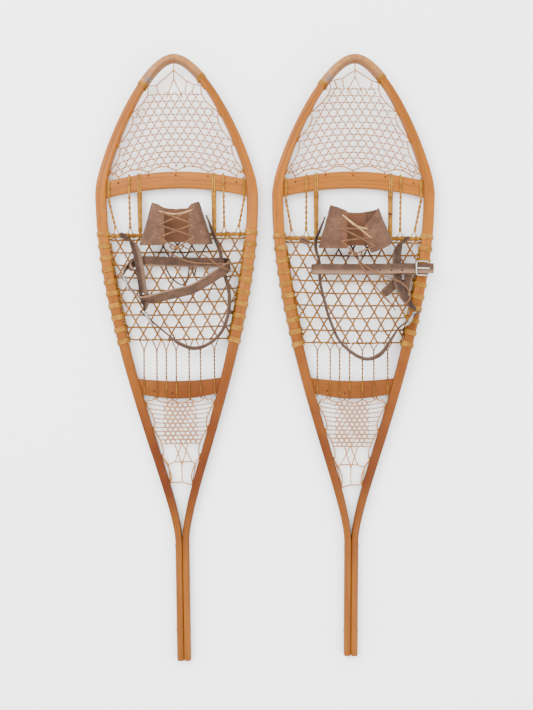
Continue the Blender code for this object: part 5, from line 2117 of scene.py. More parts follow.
    def toe_strands(self) -> list[list[Vector]]:
        """Long strands that fan down from the tip.

        Returns:
            Plan paths.
        """
        f = self.flip
        s = self.slide
        apex = self.at(-0.001 * f, 1.1905)
        fork = self.at(-0.001 * f, 1.1735 + s * 0.5)
        left = self.at(-0.036 * f, 1.1610 + s)
        right = self.at(0.024 * f, 1.1690 + s * 0.6)
        far = self.at(0.040 * f, 1.1620 + s)
        tip = Vector((0, 1.2038, self.plan.mid(1.204)))
        tie = self.ties[3]
        return [[tip, apex], [apex, left, self.at(-self.side(tie) * f, tie)],
                [apex, right, far, self.at(self.side(tie) * f, tie)],
                [apex, fork], [fork, self.at(-0.0165 * f, 1.1375 + s)],
                [fork, self.at(0.0155 * f, 1.1375 + s)],
                [left, self.at(-0.0330 * f, 1.1470 + s)], [right, self.at(0.0220 * f, 1.1490 + s)],
                [far, self.at(0.0350 * f, 1.1470 + s)]]

    def heel_field(self) -> tuple[Weave, Inside, Inside]:
        """Weave of the heel net and the fields of its strands.

        Returns:
            The weave, the field of the cross strands and that of the slanting ones.
        """
        plan = self.plan
        low = 0.4400 + self.slide

        def bow(u: float, v: float) -> float:
            """Slack of the rows under the crossbar."""
            return 2.6 * u * u * max(0.0, (v - 0.46) / 0.07)

        def high(u: float) -> float:
            """Upper edge of the field."""
            return REAR_BAR.edges(min(1.0, abs(u) / 0.080))[1] - 0.0085

        def across(u: float, v: float) -> bool:
            """Whether a cross strand may lie here."""
            return low - 0.0004 < v < high(u) and abs(u) < self.side(v)

        def slant(u: float, v: float) -> bool:
            """Whether a slanting strand may lie here."""
            return low < v < high(u) and abs(u) < min(self.side(v) - 0.0085, 0.034)

        weave = Weave(plan, low, 0.0082, 0.0051, bow, plan.mid, 0.00045, range(0, 13), 12, 0.0008)
        return weave, across, slant

    def heel_strands(self) -> list[list[Vector]]:
        """Long strands that run down between the rails.

        Returns:
            Plan paths.
        """
        f = self.flip
        s = self.slide

        def spot(u: float, v: float) -> Vector:
            """Point of the left shoe's net, turned over for the right one."""
            return self.at(u * f, v + s)

        low_left = self.at(-self.side(self.ties[0]) * f, self.ties[0])
        low_right = self.at((self.side(self.ties[0]) - 0.001) * f, self.ties[0] - 0.005)
        left = spot(-0.0255, 0.398)
        right = spot(0.0290, 0.398)
        hub = spot(0.0015, 0.3965)
        base = spot(0.0015, 0.3620)
        tie = self.ties[1]
        return [[spot(-0.0126, 0.440), spot(-0.0056, 0.4195), hub],
                [spot(0.0027, 0.441), spot(0.0109, 0.425), spot(0.0218, 0.403)],
                [spot(0.0027, 0.441), spot(-0.0056, 0.4195), spot(-0.0121, 0.403)],
                [spot(0.0140, 0.440), spot(0.0109, 0.425), hub],
                [left, spot(-0.0121, 0.403), spot(0.0218, 0.403), right],
                [left, self.at(-self.side(tie) * f, tie)],
                [right, self.at(self.side(tie) * f, tie)], [left, low_left], [right, low_right],
                [hub, base],
                [low_left, base, low_right]]


# ---------------------------------------------------------------- bindings

Stop = tuple[Triple, Triple]
UPRIGHT: Triple = (0.0, 0.0, 1.0)
FLAT: Triple = (0.0, 1.0, 0.0)
LEAN_LEFT = 0.35
LEAN_RIGHT = 0.30


def run_stops(centre: Triple, run: Triple, wide: Triple, distances: Sequence[float]) -> tuple[Stop, ...]:
    """Stops on a straight line through centre.

    Args:
        centre: Place on the line.
        run: Its direction.
        wide: Width direction at every stop.
        distances: Where the stops are.

    Returns:
        The stops.
    """
    direction = Vector(run).normalized()
    return tuple((tuple(Vector(centre) + direction * d), wide) for d in distances)


@dataclass(frozen=True)
class BuckleSpot:
    """Where a buckle sits on its strap, in outward-based places."""

    name: str
    centre: Triple
    run: Triple
    wide: Triple
    stops: tuple[float, ...]


@dataclass(frozen=True)
class StrapSpec:
    """One strap: its stops, width, end shapes and punched holes."""

    name: str
    stops: tuple[Stop, ...]
    width: float
    buckle: Optional[BuckleSpot] = None
    starts_at: Optional[BuckleSpot] = None
    ends_at: Optional[BuckleSpot] = None
    rounded_start: bool = False
    rounded_end: bool = False
    holes: tuple[Triple, ...] = ()
    # dark: the strap wears the darker strap leather, painted shade.
    dark: bool = False
    extra: bool = False


@dataclass(frozen=True)
class ToeSpec:
    """Sizes of one toe piece."""

    front_half: float
    back_half: float
    front_rise: float
    back_rise: float
    flap_edge: tuple[float, float]
    flap_drop: float
    peaks: tuple[float, float]
    turned: float = 0.0


@dataclass(frozen=True)
class BindingSpec:
    """Everything that differs between the two bindings."""

    toe: ToeSpec
    long_tail: tuple[Triple, ...]
    short_tail: tuple[Triple, ...]
    straps: tuple[StrapSpec, ...]
    loops: tuple[tuple[Triple, ...], ...]


LEFT_INSTEP = BuckleSpot("instep", (0.101, 0.765, 0.034), (0.61, 0.79, 0.0), UPRIGHT,
                         (-0.030, -0.015, 0.0, 0.015, 0.0225))
LEFT_HEEL = BuckleSpot("heel", (0.058, 0.6936, 0.033), (0.75, 0.66, 0.0), UPRIGHT,
                       (-0.030, -0.015, 0.0, 0.015, 0.0225))
RIGHT_INSTEP = BuckleSpot("instep", (0.136, 0.793, 0.0445), (1.0, 0.0, 0.0), FLAT,
                          (-0.020, -0.010, 0.0, 0.010, 0.0225))
RIGHT_HEEL = BuckleSpot("heel", (0.113, 0.692, 0.047), (0.68, 0.58, 0.45), UPRIGHT,
                        (-0.032, -0.016, 0.0, 0.016, 0.0225))

LEFT_SPEC = BindingSpec(
    toe=ToeSpec(0.046, 0.072, 0.046, 0.040, (0.021, 0.027), 1.0, (0.0115, 0.0115)),
    long_tail=((0.020, 0.829, 0.056), (0.000, 0.815, 0.052), (-0.030, 0.803, 0.051), (-0.065, 0.800, 0.052),
               (-0.096, 0.7985, 0.054), (-0.120, 0.802, 0.046), (-0.136, 0.807, 0.036)),
    short_tail=((-0.014, 0.834, 0.057), (-0.035, 0.824, 0.057), (-0.060, 0.813, 0.057),
                (-0.085, 0.795, 0.0565),
                (-0.114, 0.782, 0.044)),
    straps=(
        StrapSpec("instep_strap", (
            ((0.101, 0.796, 0.030), (0, 0.3, 1)), ((0.088, 0.806, 0.024), (0, 0.85, 0.5)),
            ((0.065, 0.810, 0.0192), (0, 1, 0.05)), ((0.025, 0.808, 0.0190), FLAT),
            ((-0.020, 0.806, 0.0190), FLAT),
            ((-0.065, 0.805, 0.0190), FLAT), ((-0.093, 0.804, 0.0198), FLAT),
            ((-0.1035, 0.801, 0.0265), FLAT),
            ((-0.105, 0.797, 0.035), FLAT), ((-0.100, 0.791, 0.0435), (0, 1, 0.05)),
            ((-0.086, 0.782, 0.0475), (0.1, 1, 0.05)), ((-0.062, 0.767, 0.0475), (0.2, 1, 0.1)),
            ((-0.030, 0.750, 0.047), (0.1, 1, 0.1)), ((0.010, 0.741, 0.0455), (0, 1, 0.15)),
            ((0.042, 0.734, 0.043), (0, 0.9, 0.5)), ((0.066, 0.7325, 0.038), (0, 0.4, 1))),
            0.020, buckle=LEFT_INSTEP, starts_at=LEFT_INSTEP),
        StrapSpec("heel_strap", (
            ((-0.060, 0.898, 0.038), UPRIGHT), ((-0.068, 0.876, 0.036), (-LEAN_LEFT / 2, 0, 1)),
            ((-0.0775, 0.850, 0.034), (-LEAN_LEFT, 0, 1)), ((-0.0865, 0.824, 0.0325), (-LEAN_LEFT, 0, 1)),
            ((-0.089, 0.806, 0.0315), (-LEAN_LEFT, 0, 1)), ((-0.091, 0.793, 0.0315), (-LEAN_LEFT, 0, 1)),
            ((-0.097, 0.770, 0.030), (-LEAN_LEFT, 0, 1)), ((-0.102, 0.748, 0.029), (-LEAN_LEFT, 0, 1)),
            ((-0.103, 0.725, 0.028), (-LEAN_LEFT, 0, 1)), ((-0.099, 0.695, 0.028), (-LEAN_LEFT, 0, 1)),
            ((-0.085, 0.663, 0.028), (-LEAN_LEFT * 0.8, -LEAN_LEFT * 0.4, 1)),
            ((-0.060, 0.641, 0.028), (-LEAN_LEFT * 0.4, -LEAN_LEFT * 0.8, 1)),
            ((-0.031, 0.633, 0.028), (0, -LEAN_LEFT, 1)),
            ((-0.003, 0.6425, 0.0285), (LEAN_LEFT * 0.4, -LEAN_LEFT * 0.6, 1)),
            ((0.016, 0.6570, 0.029), UPRIGHT)),
            0.019, buckle=LEFT_HEEL, rounded_start=True),
        StrapSpec("heel_billet", (
            ((0.115, 0.864, 0.031), (0, 0.6, 0.8)), ((0.103, 0.857, 0.030), (0.2, 0.6, 0.8)),
            ((0.092, 0.848, 0.030), (0.6, 0.4, 0.7)), ((0.0845, 0.836, 0.031), (0.9, 0.2, 0.5)),
            ((0.080, 0.822, 0.0315), (1, 0, 0.3)), ((0.077, 0.806, 0.0315), (1, 0, 0.3)),
            ((0.074, 0.785, 0.027), (1, 0, 0.3)),
            ((0.072, 0.763, 0.0215), (1, 0, 0.15)), ((0.070, 0.744, 0.0205), (1, 0, 0.1)),
            ((0.068, 0.731, 0.0210), (1, 0, 0.2)),
            ((0.067, 0.7225, 0.0265), (0.8, 0.2, 0.8))),
            0.017, ends_at=LEFT_HEEL, rounded_start=True,
                  holes=((0.072, 0.763, 0.0215), (0.070, 0.744, 0.0205)), dark=True),
        StrapSpec("instep_fold", (
            ((0.080, 0.8100, 0.0265), (0, 0.6, 0.8)), ((0.089, 0.8070, 0.0300), (0, 0.6, 0.8)),
            ((0.0945, 0.8000, 0.0360), (-0.3, 0.5, 0.8)), ((0.0915, 0.7935, 0.0420), (-0.7, 0.2, 0.7)),
            ((0.0850, 0.7895, 0.0425), (-0.7, 0.0, 0.7))), 0.012, rounded_end=True, extra=True),
    ),
    loops=(((0.024, 0.8160, 0.0535), (0.015, 0.7805, 0.0525), (-0.009, 0.7585, 0.0520),
            (-0.022, 0.7715, 0.0525),
            (-0.0265, 0.7980, 0.0545)),
           ((-0.031, 0.7980, 0.0545), (-0.035, 0.7760, 0.0530), (-0.040, 0.7930, 0.0545))),
)

RIGHT_SPEC = BindingSpec(
    toe=ToeSpec(0.047, 0.070, 0.044, 0.036, (0.016, 0.012), 0.93, (0.012, 0.007), 1.0),
    long_tail=((0.000, 0.815, 0.052), (0.026, 0.793, 0.0505), (0.060, 0.777, 0.049), (0.091, 0.765, 0.048),
               (0.109, 0.746, 0.053), (0.107, 0.728, 0.063), (0.090, 0.716, 0.058), (0.072, 0.722, 0.054),
               (0.058, 0.736, 0.052)),
    short_tail=((0.006, 0.805, 0.058), (0.022, 0.783, 0.057), (0.037, 0.762, 0.050), (0.052, 0.745, 0.044),
                (0.070, 0.727, 0.042), (0.084, 0.708, 0.036)),
    straps=(
        StrapSpec("anchor_tab",
                  (((-0.0885, 0.843, 0.027), (0, 0.6, 0.8)), ((-0.098, 0.848, 0.028), (0, 0.6, 0.8)),
                                 ((-0.108, 0.853, 0.030), (0, 0.6, 0.8))), 0.014, rounded_end=True),
        StrapSpec("instep_strap", (
            ((0.156, 0.792, 0.0350), FLAT), ((0.146, 0.792, 0.0338), FLAT), ((0.133, 0.791, 0.0332), FLAT),
            ((0.123, 0.791, 0.0322), FLAT), ((0.108, 0.791, 0.0255), FLAT), ((0.092, 0.791, 0.0200), FLAT),
            ((0.070, 0.791, 0.0190), FLAT), ((0.030, 0.791, 0.0190), FLAT), ((-0.030, 0.791, 0.0190), FLAT),
            ((-0.064, 0.791, 0.0190), FLAT), ((-0.078, 0.791, 0.0215), FLAT),
            ((-0.084, 0.791, 0.0305), FLAT),
            ((-0.078, 0.791, 0.040), FLAT), ((-0.060, 0.791, 0.0430), FLAT), ((0.0, 0.791, 0.0435), FLAT),
            ((0.070, 0.792, 0.0445), FLAT), ((0.100, 0.793, 0.0445), FLAT)),
            0.020, buckle=RIGHT_INSTEP, rounded_start=True,
            holes=((0.027, 0.7885, 0.044), (0.051, 0.7885, 0.044), (0.0745, 0.7885, 0.0445),
                   (0.096, 0.7885, 0.0445))),
        StrapSpec("heel_strap", (
            ((-0.058, 0.896, 0.038), UPRIGHT), ((-0.066, 0.876, 0.035), (-LEAN_RIGHT / 2, 0, 1)),
            ((-0.0765, 0.850, 0.033), (-LEAN_RIGHT, 0, 1)), ((-0.076, 0.830, 0.032), (-LEAN_RIGHT, 0, 1)),
            ((-0.070, 0.810, 0.031), (-LEAN_RIGHT, 0, 1)), ((-0.068, 0.791, 0.031), (-LEAN_RIGHT, 0, 1)),
            ((-0.068, 0.770, 0.030), (-LEAN_RIGHT, 0, 1)), ((-0.064, 0.750, 0.029), (-LEAN_RIGHT, 0, 1)),
            ((-0.058, 0.727, 0.028), (-LEAN_RIGHT, 0, 1)), ((-0.049, 0.695, 0.028), (-LEAN_RIGHT, 0, 1)),
            ((-0.028, 0.648, 0.0285), (-LEAN_RIGHT, 0, 1)),
            ((0.003, 0.620, 0.031), (-LEAN_RIGHT / 2, -LEAN_RIGHT, 1)),
            ((0.030, 0.611, 0.0315), (0, -LEAN_RIGHT, 1)),
            ((0.056, 0.622, 0.031), (LEAN_RIGHT / 2, -LEAN_RIGHT, 1)),
            ((0.074, 0.647, 0.030), (LEAN_RIGHT / 2, 0, 1))),
            0.019, buckle=RIGHT_HEEL, rounded_start=True),
        StrapSpec("heel_billet", (
            ((0.112, 0.856, 0.031), (0, 0.6, 0.8)), ((0.102, 0.850, 0.030), (0.2, 0.6, 0.8)),
            ((0.0935, 0.842, 0.030), (0.6, 0.4, 0.7)), ((0.0885, 0.831, 0.031), (0.9, 0.2, 0.5)),
            ((0.0865, 0.818, 0.031), (1, 0, 0.3)), ((0.087, 0.796, 0.0305), (1, 0, 0.2)),
            ((0.090, 0.768, 0.028), (1, 0, 0.2)),
            ((0.098, 0.742, 0.035), (1, 0, 0.4)), ((0.109, 0.7235, 0.049), (0.6, 0.3, 0.9))),
            0.017, ends_at=RIGHT_HEEL, rounded_start=True, dark=True),
        StrapSpec("instep_hanger", (
            ((0.112, 0.784, 0.0265), (0.9, 0.4, 0.1)), ((0.109, 0.768, 0.0262), (0.9, 0.4, 0.1)),
            ((0.106, 0.750, 0.0272), (0.9, 0.4, 0.2)), ((0.103, 0.735, 0.0320), (0.9, 0.4, 0.3))),
            0.016, rounded_end=True, extra=True),
        StrapSpec("heel_keeper_end", (
            ((0.090, 0.772, 0.0215), (0.55, -0.8, 0)), ((0.079, 0.759, 0.0206), (0.6, -0.8, 0)),
            ((0.066, 0.747, 0.0205), (0.65, -0.75, 0)), ((0.058, 0.740, 0.0205), (0.65, -0.75, 0))),
            0.019, rounded_end=True, extra=True),
    ),
    loops=(),
)


@dataclass
class Binding:
    """Leather binding of one shoe; o runs outward from the shoe's centre line."""

    plan: ShoePlan
    wardrobe: Wardrobe
    spec: BindingSpec
    raised: float = 0.0012
    sole_z: float = 0.0244
    leather: float = 0.0030
    strap_thick: float = 0.0028
    thong: float = 0.0013
    loop_radius: float = 0.0056
    eyelet: float = 0.0021
    rows: tuple[float, ...] = (0.15, 0.48, 0.80)
    profile: tuple[tuple[float, float], ...] = ((0.0, 0.0), (0.40, 0.0), (0.72, 0.01), (0.92, 0.10),
                                                (1.0, 0.30),
                                                (0.99, 0.58), (0.90, 0.82), (0.72, 0.96))
    across_steps: int = 34
    along_steps: int = 22

    def out(self, place_at: Sequence[float]) -> Vector:
        """Outward-based place in the shared frame."""
        o, v, z = place_at
        return self.plan.row(Vector((self.plan.foot.side * o, v, z + self.raised)))

    def flip(self, way: Sequence[float]) -> Vector:
        """Outward-based direction in the shared frame."""
        return self.plan.heading((self.plan.foot.side * way[0], way[1], way[2]))

    def dress(self, name: str, stock: Stock, finish: bpy.types.Material, slot: Slot,
              nodes: Iterable[str] = (),
              body: Optional[str] = None, crease: float = 0.0) -> bpy.types.Object:
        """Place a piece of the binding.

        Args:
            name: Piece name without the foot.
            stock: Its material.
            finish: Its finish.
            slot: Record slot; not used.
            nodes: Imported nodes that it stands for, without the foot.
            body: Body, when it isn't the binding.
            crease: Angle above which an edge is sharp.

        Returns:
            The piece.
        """
        foot = self.plan.foot
        return place(foot.named(name), stock.mesh(name), finish, body or self.plan.binding_body,
                     [foot.named(n) for n in nodes], crease)

    def build(self) -> None:
        """Make every piece of the binding, the free thongs first."""
        self.free_thong("long", self.spec.long_tail)
        self.free_thong("short", self.spec.short_tail)
        self.toe_piece()
        self.lace()
        self.anchor_loops()
        for strap in self.spec.straps:
            self.strap(strap)
            if strap.buckle:
                self.buckle(strap.buckle)
        if self.spec.loops:
            self.hanging_loops()

    # ------------------------------------------------ toe piece and lace

    def arm(self, side: int, q: float) -> list[Vector]:
        """Middle line of the leather from the sole to one flap's edge.

        Args:
            side: Which flap, by the sign of u.
            q: Share of the way from the front to the back.

        Returns:
            Plan points.
        """
        spec = self.spec.toe
        front = self.plan.master + 0.051
        back = self.plan.master - 0.015
        half = spec.front_half + (spec.back_half - spec.front_half) * q
        rise = spec.front_rise + (spec.back_rise - spec.front_rise) * q
        edge = spec.flap_edge[0 if side < 0 else 1] / half
        rows = self.profile + (((0.72 + edge) / 2, 1.0), (edge, spec.flap_drop))
        points = []
        for k, (share, high) in enumerate(rows):
            t = k / (len(rows) - 1)
            fold = max(0.0, 1 - abs(t - 0.52) / 0.48)
            stand = spec.peaks[0 if side < 0 else 1] * min(1.0, fold * 1.15) * (1 - q) ** 1.5
            v = front + stand - 0.003 * high * t + (back - front) * q - 0.012 * t * q * (1.6 - t)
            away = half * share
            if side > 0 and spec.turned:
                over = max(0.0, (t - 0.60) / 0.40)
                away += spec.turned * (0.020 * over * q + 0.006 * fold * q)
                v += spec.turned * (0.014 * fold * q - over * (0.036 * (1 - q) + 0.009 * q))
            points.append(Vector((side * away, v, self.sole_z + rise * high)))
        curve = smooth(points, 5)
        return [points[0].copy()] + self.spaced(curve)

    def spaced(self, path: Route) -> list[Vector]:
        """A fixed number of equal steps along a path."""
        total = sum((b - a).length for a, b in zip(path, path[1:]))
        return evenly(path, total / self.across_steps * 0.99999)[1:self.across_steps] + [path[-1].copy()]

    def toe_piece(self) -> None:
        """Shape the leather under the toe and its two flaps, and punch the lacing holes."""
        rows = []
        for k in range(self.along_steps + 1):
            q = k / self.along_steps
            left = self.arm(-1, q)
            rows.append(left[:0:-1] + self.arm(1, q))
        last_i, last_j = len(rows) - 1, len(rows[0]) - 1
        layers = []
        for sign in (-1, 1):
            layer = []
            for i, row in enumerate(rows):
                line = []
                for j, p in enumerate(row):
                    across = row[min(j + 1, last_j)] - row[max(j - 1, 0)]
                    back = rows[min(i + 1, last_i)][j] - rows[max(i - 1, 0)][j]
                    normal = back.cross(across).normalized()
                    rim = min(i, last_i - i, j, last_j - j)
                    thick = self.leather / 2 * (0.62 if rim == 0 else 0.96)
                    ripple = 0.0007 * rough(p, 0.017) * min(1.0, rim / 3)
                    stray = Vector((0, 0.0011 * rough(p, 0.012) if i in (0, last_i) else 0, 0))
                    line.append(self.plan.row(p + stray + normal * (sign * thick + ripple)))
                layer.append(line)
            layers.append(layer)
        stock = Stock()
        self.sheet_faces(stock, layers, rows)
        tools = Stock()
        for side in (-1, 1):
            for q in self.rows:
                spot, normal = self.lace_hole(side, q)
                drill(tools, spot, normal, self.eyelet, 0.012)
        mesh = cut(stock.mesh("toe_leather"), tools)
        foot = self.plan.foot
        place(foot.named("toe_leather"), mesh, self.wardrobe.suede, self.plan.binding_body,
              [foot.named("toe_piece")], crease=55)

    def sheet_faces(self, stock: Stock, layers: list[list[list[Vector]]], rows: list[list[Vector]]) -> None:
        """Join the two faces of the leather and close its edges.

        Args:
            stock: Where it is made.
            layers: Lower and upper grid of points.
            rows: Middle grid, which gives the grain map.
        """
        last_i, last_j = len(rows) - 1, len(rows[0]) - 1
        for layer in layers:
            for line in layer:
                stock.verts.extend(line)
        wide = last_j + 1
        size = wide * (last_i + 1)

        def put(corners: Sequence[tuple[int, int, int]]) -> None:
            """Add one face from (layer, row, place) corners."""
            stock.faces.append(tuple(c[0] * size + c[1] * wide + c[2] for c in corners))
            stock.grain.append(tuple((rows[c[1]][c[2]].x, rows[c[1]][c[2]].y) for c in corners))

        for i in range(last_i):
            for j in range(last_j):
                put(((0, i, j), (0, i, j + 1), (0, i + 1, j + 1), (0, i + 1, j)))
                put(((1, i, j), (1, i + 1, j), (1, i + 1, j + 1), (1, i, j + 1)))
        for i in range(last_i):
            put(((0, i, 0), (0, i + 1, 0), (1, i + 1, 0), (1, i, 0)))
            put(((0, i + 1, last_j), (0, i, last_j), (1, i, last_j), (1, i + 1, last_j)))
        for j in range(last_j):
            put(((0, 0, j + 1), (0, 0, j), (1, 0, j), (1, 0, j + 1)))
            put(((0, last_i, j), (0, last_i, j + 1), (1, last_i, j + 1), (1, last_i, j)))

    def lace_hole(self, side: int, q: float) -> tuple[Vector, Vector]:
        """Middle of a lacing hole and the way out of the leather.

        Args:
            side: Which flap.
            q: Share of the way from the front to the back.

        Returns:
            Place and direction in the shared frame.
        """
        line = self.arm(side, q)
        beside = self.arm(side, q + 0.05)
        k = round(len(line) * 0.90)
        normal = (beside[k] - line[k]).cross(line[k + 1] - line[k - 1]).normalized()
        if normal.z < 0:
            normal = -normal
        return self.plan.row(line[k]), self.plan.heading(normal)

    def lace(self) -> None:
        """Thong laced straight across, then crossed twice to a knot; its first pass is paler, a painted
        highlight.
        """
        pale, stock = Stock(), Stock()
        holes = {}
        for side in (-1, 1):
            for index, q in enumerate(self.rows):
                holes[side, index] = self.lace_hole(side, q)
        section = round_section(self.thong * 1.15, 8, 0.72)
        knot = self.out((-0.002, self.plan.master - 0.030, 0.0555))
        if self.plan.foot is Foot.RIGHT:
            knot = self.out((0.001, self.plan.master - 0.036, 0.0560))
        passes = [((-1, 0), (1, 0), 0.0014, -0.0065), ((-1, 0), (1, 1), 0.0030, 0.0),
                  ((1, 0), (-1, 1), 0.0008, 0.0),
                  ((-1, 1), (1, 2), 0.0030, 0.0), ((1, 1), (-1, 2), 0.0008, 0.0)]
        # The first passes take the paler thong leather, a painted highlight.
        highlight_passes = 1 if self.plan.foot is Foot.LEFT else 2
        for index, (start, stop, lift, bow) in enumerate(passes):
            (a, out_a), (b, out_b) = holes[start], holes[stop]
            inner_a = a + (b - a).normalized() * 0.0012
            inner_b = b + (a - b).normalized() * 0.0012
            middle = (a + b) / 2 + self.plan.heading((0, bow, 0)) + UP * (lift + 0.0012)
            route = [inner_a - out_a * 0.004, inner_a + out_a * 0.0021, middle, inner_b + out_b * 0.0021,
                     inner_b - out_b * 0.004]
            (pale if index < highlight_passes else stock).strand(evenly(smooth(route, 6), 0.0013), section, [UP],
                                                            swell=0.18)
        for side in (-1, 1):
            hole, out = holes[side, 2]
            reach = hole + (knot - hole).normalized() * 0.0012
            route = [reach - out * 0.004, reach + out * 0.0022, (hole + knot) / 2 + UP * 0.002, knot]
            stock.strand(evenly(smooth(route, 6), 0.0013), section, [UP], swell=0.18)
        for k in range(5):
            angle = 2.4 * k
            spot = knot + Vector((math.cos(angle), math.sin(angle), 0.2 * (k % 3))) * 0.0019
            ring_round(stock, spot, Vector((math.sin(angle), -math.cos(angle), 0.5)), 0.0024,
                       self.thong * 0.8, 12)
        stock.ball(knot, 0.0027, 0.8)
        for way in (-1, 1):
            ear = [knot, knot + self.plan.heading((way * 0.008, -0.003, 0.0010)),
                   knot + self.plan.heading((way * 0.014, 0.0035, 0.0004)),
                   knot + self.plan.heading((way * 0.006, 0.0045, 0.0))]
            stock.strand(evenly(smooth(ear, 5), 0.0013), section, [UP])
        self.dress("lace_crossed", stock, self.wardrobe.thong_brown, Slot.THONG, ["toe_lace"])
        self.dress("lace_front", pale, self.wardrobe.thong, Slot.THONG)

    def free_thong(self, label: str, stops: Sequence[Triple]) -> None:
        """Free end of the lace.

        Args:
            label: Which end.
            stops: Outward-based points that it passes.
        """
        path = evenly(smooth([self.out(p) for p in stops], 6), 0.0022)
        stock = Stock()
        stock.strand(path, round_section(self.thong, 10), ease=1, swell=0.10)
        obj = self.dress(f"free_thong_{label}", stock, self.wardrobe.thong_brown, Slot.THONG,
                         [f"lace_tail_{label}"])

    def hanging_loops(self) -> None:
        """Dark thong loops that hang from the knot over the instep strap."""
        stock = Stock()
        for loop in self.spec.loops:
            path = evenly(smooth([self.out(p) for p in loop], 7), 0.0018)
            stock.strand(path, round_section(0.0016, 8, 0.6), [UP], swell=0.15)
        self.dress("knot_loops", stock, self.wardrobe.strap_shaded, Slot.THONG)

    # ------------------------------------------------ straps and buckles

    def anchor_loops(self) -> None:
        """Leather loops that turn on the master cord."""
        plan = self.plan
        for label, side in (("outer", plan.foot.side), ("inner", -plan.foot.side)):
            stock = Stock()
            rings = []
            for k in range(36):
                angle = 2 * math.pi * k / 36
                out = Vector((0, math.cos(angle), math.sin(angle)))
                centre = Vector((side * 0.058, plan.master, plan.hinge_z)) + out * self.loop_radius
                rings.append([plan.row(centre + Vector((x, 0, 0)) + out * y)
                              for x, y in rounded_section(0.0060, 0.0012, 0.0007)])
            stock.loft(rings, closed=True)
            self.dress(f"hinge_loop_{label}", stock, self.wardrobe.strap, Slot.STRAP,
                       [f"anchor_loop_{label}"])

    def axes(self, spot: BuckleSpot) -> tuple[Vector, ...]:
        """Axes of a buckle and of its strap.

        Args:
            spot: Where the buckle lies.

        Returns:
            Its centre, across to its front bar, along its bars and out of its face, then the strap's
            run, width and outward directions.
        """
        run = self.flip(spot.run).normalized()
        wide = self.flip(spot.wide)
        wide = (wide - run * wide.dot(run)).normalized()
        out = run.cross(wide) * self.plan.foot.side
        tilt = math.radians(BUCKLE_TILT)
        x = out * math.sin(tilt) - run * math.cos(tilt)
        z = out * math.cos(tilt) + run * math.sin(tilt)
        return self.out(spot.centre), x, z.cross(x), z, run, wide, out

    def partner(self, spot: BuckleSpot) -> tuple[Vector, Vector]:
        """Where the other strap ends beside a buckle, with its width direction."""
        centre, _, _, _, run, wide, out = self.axes(spot)
        return centre + run * 0.0200 - out * 0.0085, self.flip(UPRIGHT)

    def strap(self, spec: StrapSpec) -> None:
        """Make one strap.

        Args:
            spec: Its sizes.
        """
        placed = [(self.out(p), self.flip(w).normalized()) for p, w in spec.stops]
        if spec.starts_at:
            placed.insert(0, self.partner(spec.starts_at))
        if spec.buckle:
            b = spec.buckle
            placed += [(self.out(p), self.flip(w).normalized()) for p,
                       w in run_stops(b.centre, b.run, b.wide, b.stops)]
        if spec.ends_at:
            placed.append(self.partner(spec.ends_at))
        frames = self.strap_frames(placed)
        stock = Stock()
        lengths = [0.0]
        for a, b in zip(frames, frames[1:]):
            lengths.append(lengths[-1] + (b[0] - a[0]).length)
        half = spec.width / 2
        base = rounded_section(half, self.strap_thick / 2, 0.0009, 3)
        rings = []
        for (p, _, wide, face), s in zip(frames, lengths):
            narrow = self.tip_share(s, half) if spec.rounded_start else 1.0
            if spec.rounded_end:
                narrow = min(narrow, self.tip_share(lengths[-1] - s, half))
            narrow *= 1 + 0.025 * rough(p, 0.02)
            belly = 0.00025 * rough(p, 0.008)
            rings.append([p + wide * (x * narrow) + face * (y + belly - 0.0006 * (x / half) ** 2) for x,
                          y in base])
        stock.loft(rings, runs=lengths)
        tools = Stock()
        if spec.buckle:
            centre, _, _, _, run, wide, out = self.axes(spec.buckle)
            self.slot_tool(tools, centre + run * 0.0085, run, wide, out)
        for hole in spec.holes:
            target = self.out(hole)
            p, _, _, face = min(frames, key=lambda f: (f[0] - target).length)
            aim = target + face * (p - target).dot(face)
            drill(tools, aim, face, 0.0019, 0.010)
        mesh = cut(stock.mesh(spec.name), tools) if tools.verts else stock.mesh(spec.name)
        foot = self.plan.foot
        # Straps marked dark wear the darker copy of the strap leather, painted shade.
        finish = self.wardrobe.strap_shaded if spec.dark else self.wardrobe.strap
        place(foot.named(spec.name + "_leather"), mesh, finish, self.plan.binding_body,
              [] if spec.extra else [foot.named(spec.name)], crease=60)

    def strap_frames(self,
                     placed: list[tuple[Vector, Vector]]) -> list[tuple[Vector, Vector, Vector, Vector]]:
        """Point, run, width and face directions along a strap.

        Args:
            placed: Stops in the shared frame.

        Returns:
            The frames.
        """
        points = smooth([p for p, _ in placed], 8)
        wides = smooth([w for _, w in placed], 8)
        found = []
        for i, p in enumerate(points):
            run = (points[min(i + 1, len(points) - 1)] - points[max(i - 1, 0)]).normalized()
            wide = (wides[i] - run * wides[i].dot(run)).normalized()
            found.append((p, run, wide, run.cross(wide)))
        return found

    def tip_share(self, away: float, half: float) -> float:
        """Width share near a rounded end."""
        near = min(1.0, away / (half * 1.1))
        return math.sqrt(max(0.04, 1 - (1 - near) ** 2))

    def slot_tool(self, tools: Stock, centre: Vector, run: Vector, wide: Vector, out: Vector) -> None:
        """Round-ended slot for a prong.

        Args:
            tools: Bodies to cut with.
            centre: Middle of the slot.
            run: Way along the strap.
            wide: Way across it.
            out: Way out of its face.
        """
        rings = []
        for end in (-0.006, 0.006):
            ring = []
            for k in range(16):
                angle = 2 * math.pi * (k + 0.5) / 16
                shift = 0.0068 if math.cos(angle) > 0 else -0.0068
                ring.append(centre + out * end + run * (shift + 0.0024 * math.cos(angle)) + wide
                            * (0.0024 * math.sin(angle)))
            rings.append(ring)
        tools.loft(rings)

